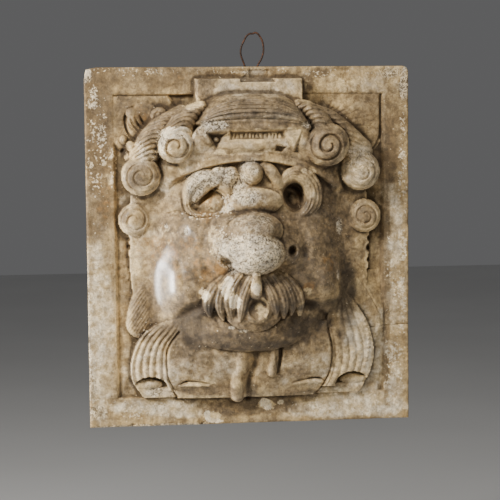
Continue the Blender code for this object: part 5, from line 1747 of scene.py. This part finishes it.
def swept_wire(line, material):
    """The line swept to a plain mesh, its doubles merged and its faces turned outwards."""
    tree = sweep_tree(material)
    sweep = line.modifiers.new("sweep", "NODES")
    sweep.node_group = tree
    for socket in tree.interface.items_tree:
        if socket.name in WIRE_INPUTS:
            sweep[socket.identifier] = WIRE_INPUTS[socket.name]
    graph = bpy.context.evaluated_depsgraph_get()
    mesh = bpy.data.meshes.new_from_object(line.evaluated_get(graph))
    bpy.data.objects.remove(line)
    bm = bmesh.new()
    bm.from_mesh(mesh)
    bmesh.ops.remove_doubles(bm, verts=bm.verts, dist=0.00001)
    bmesh.ops.recalc_face_normals(bm, faces=bm.faces)
    bm.to_mesh(mesh)
    bm.free()
    mesh.shade_smooth()
    wire = bpy.data.objects.new("bent_wire", mesh)
    bpy.context.scene.collection.objects.link(wire)
    return wire


bent_wire = swept_wire(wire_line, rusty)
print("wire mesh:", len(bent_wire.data.polygons), "faces")


# %% [markdown]
# What each piece stands for
#
# The packed model keeps its own plainer solids for weight and collision. Here each dressed
# piece is made to ride with the body, and the plain solid that it stands for is hidden.

# %% Attaching the two pieces
for piece, node, finish in ((carved_panel, "relief_panel", "plaster"),
                            (bent_wire, "hanging_wire", "rusty_wire")):
    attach(piece, "root")
    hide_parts(node)
    print(piece.name, "stands for", node)

# %% [markdown]
# A pale floor
#
# The panel is shown alone over a pale studio floor, which isn't part of the object. Its grey
# wavers a little, so that it doesn't look like a cut-out.

# %% The studio floor
FLOOR_LEVEL = -0.62
FLOOR_HALF = 6.0
FLOOR_GREY = (0.62, 0.62, 0.61, 1.0)
FLOOR_PALE = (0.66, 0.66, 0.65, 1.0)

floor_mesh = bpy.data.meshes.new("studio_floor")
floor_mesh.from_pydata([(x * FLOOR_HALF, y * FLOOR_HALF, FLOOR_LEVEL)
                        for x, y in ((-1, -1), (1, -1), (1, 1), (-1, 1))], [], [(0, 1, 2, 3)])
studio_floor = bpy.data.objects.new("studio_floor", floor_mesh)
bpy.context.scene.collection.objects.link(studio_floor)
pale, tree, shader, place = new_material("pale_floor")
floor_tone = mottled(tree, place, 1.5, 2.0, 0.55, 0.2, 0.8)
tree.links.new(mixed(tree, floor_tone, FLOOR_GREY, FLOOR_PALE), shader.inputs["Base Color"])
shader.inputs["Roughness"].default_value = 0.9
floor_mesh.materials.append(pale)
print("floor at", FLOOR_LEVEL, "m")

# %% [markdown]
# Soft light
#
# A soft lamp high on the left rakes across the relief, as light does over a carving that is
# to be read. A second one lifts the hair and the brow from above, and a weak broad one on the
# right keeps the shadows open. An upright strip straight out on the left, like a window,
# shines on the waxed cheek. All of them point at the middle of the panel.

# %% Four lamps and a grey surround
WARM = (1.0, 0.96, 0.90)
WARMISH = (1.0, 0.97, 0.93)
NEARLY_WHITE = (1.0, 0.98, 0.95)
SURROUND = (0.52, 0.52, 0.53, 1.0)
SURROUND_STRENGTH = 0.22


def soft_lamp(name, spot, size, power, tint=(1.0, 1.0, 1.0), tall=None):
    """A round lamp aimed at the panel, or an upright strip if its height is given."""
    lamp = bpy.data.lights.new(name, "AREA")
    lamp.shape = "RECTANGLE" if tall else "DISK"
    lamp.size = size
    lamp.size_y = tall or size
    lamp.energy = power
    lamp.color = tint
    holder = bpy.data.objects.new(name, lamp)
    holder.location = spot
    holder.rotation_euler = (-Vector(spot)).to_track_quat("-Z", "Y").to_euler()
    bpy.context.scene.collection.objects.link(holder)


soft_lamp("raking_light", spot=(-1.25, -1.05, 0.85), size=0.5, power=38, tint=WARM)
soft_lamp("top_light", spot=(-0.35, -1.3, 1.45), size=0.8, power=14, tint=WARMISH)
soft_lamp("fill_light", spot=(1.3, -1.9, 0.2), size=1.4, power=4.0)
soft_lamp("side_light", spot=(-1.5, -0.05, -0.20), size=0.20, power=27, tint=NEARLY_WHITE, tall=0.8)
world = bpy.data.worlds.new("studio")
world.use_nodes = True
backlight = world.node_tree.nodes["Background"]
backlight.inputs["Color"].default_value = SURROUND
backlight.inputs["Strength"].default_value = SURROUND_STRENGTH
bpy.context.scene.world = world

# %% [markdown]
# The camera
#
# The view is nearly square on, from a little left of the middle and above it, nineteen tenths
# of a metre away, through a long lens, so that the slab shows little of its sides.

# %% Camera
CAMERA_SPOT = (-0.22375, -1.92205, 0.15435)
CAMERA_TURN = (85.20849, 0.56432, -6.83403)
FILM_WIDTH = 36.0
PICTURE_WIDTH = 500.0
FOCUS_IN_PIXELS = 1520.0
CAMERA_LENS = FILM_WIDTH * FOCUS_IN_PIXELS / PICTURE_WIDTH

camera_data = bpy.data.cameras.new("camera")
camera_data.sensor_width = FILM_WIDTH
camera_data.lens = CAMERA_LENS
camera = bpy.data.objects.new("camera", camera_data)
camera.location = CAMERA_SPOT
camera.rotation_euler = [math.radians(turn) for turn in CAMERA_TURN]
bpy.context.scene.collection.objects.link(camera)
bpy.context.scene.camera = camera
print("camera lens", round(CAMERA_LENS, 1), "mm")
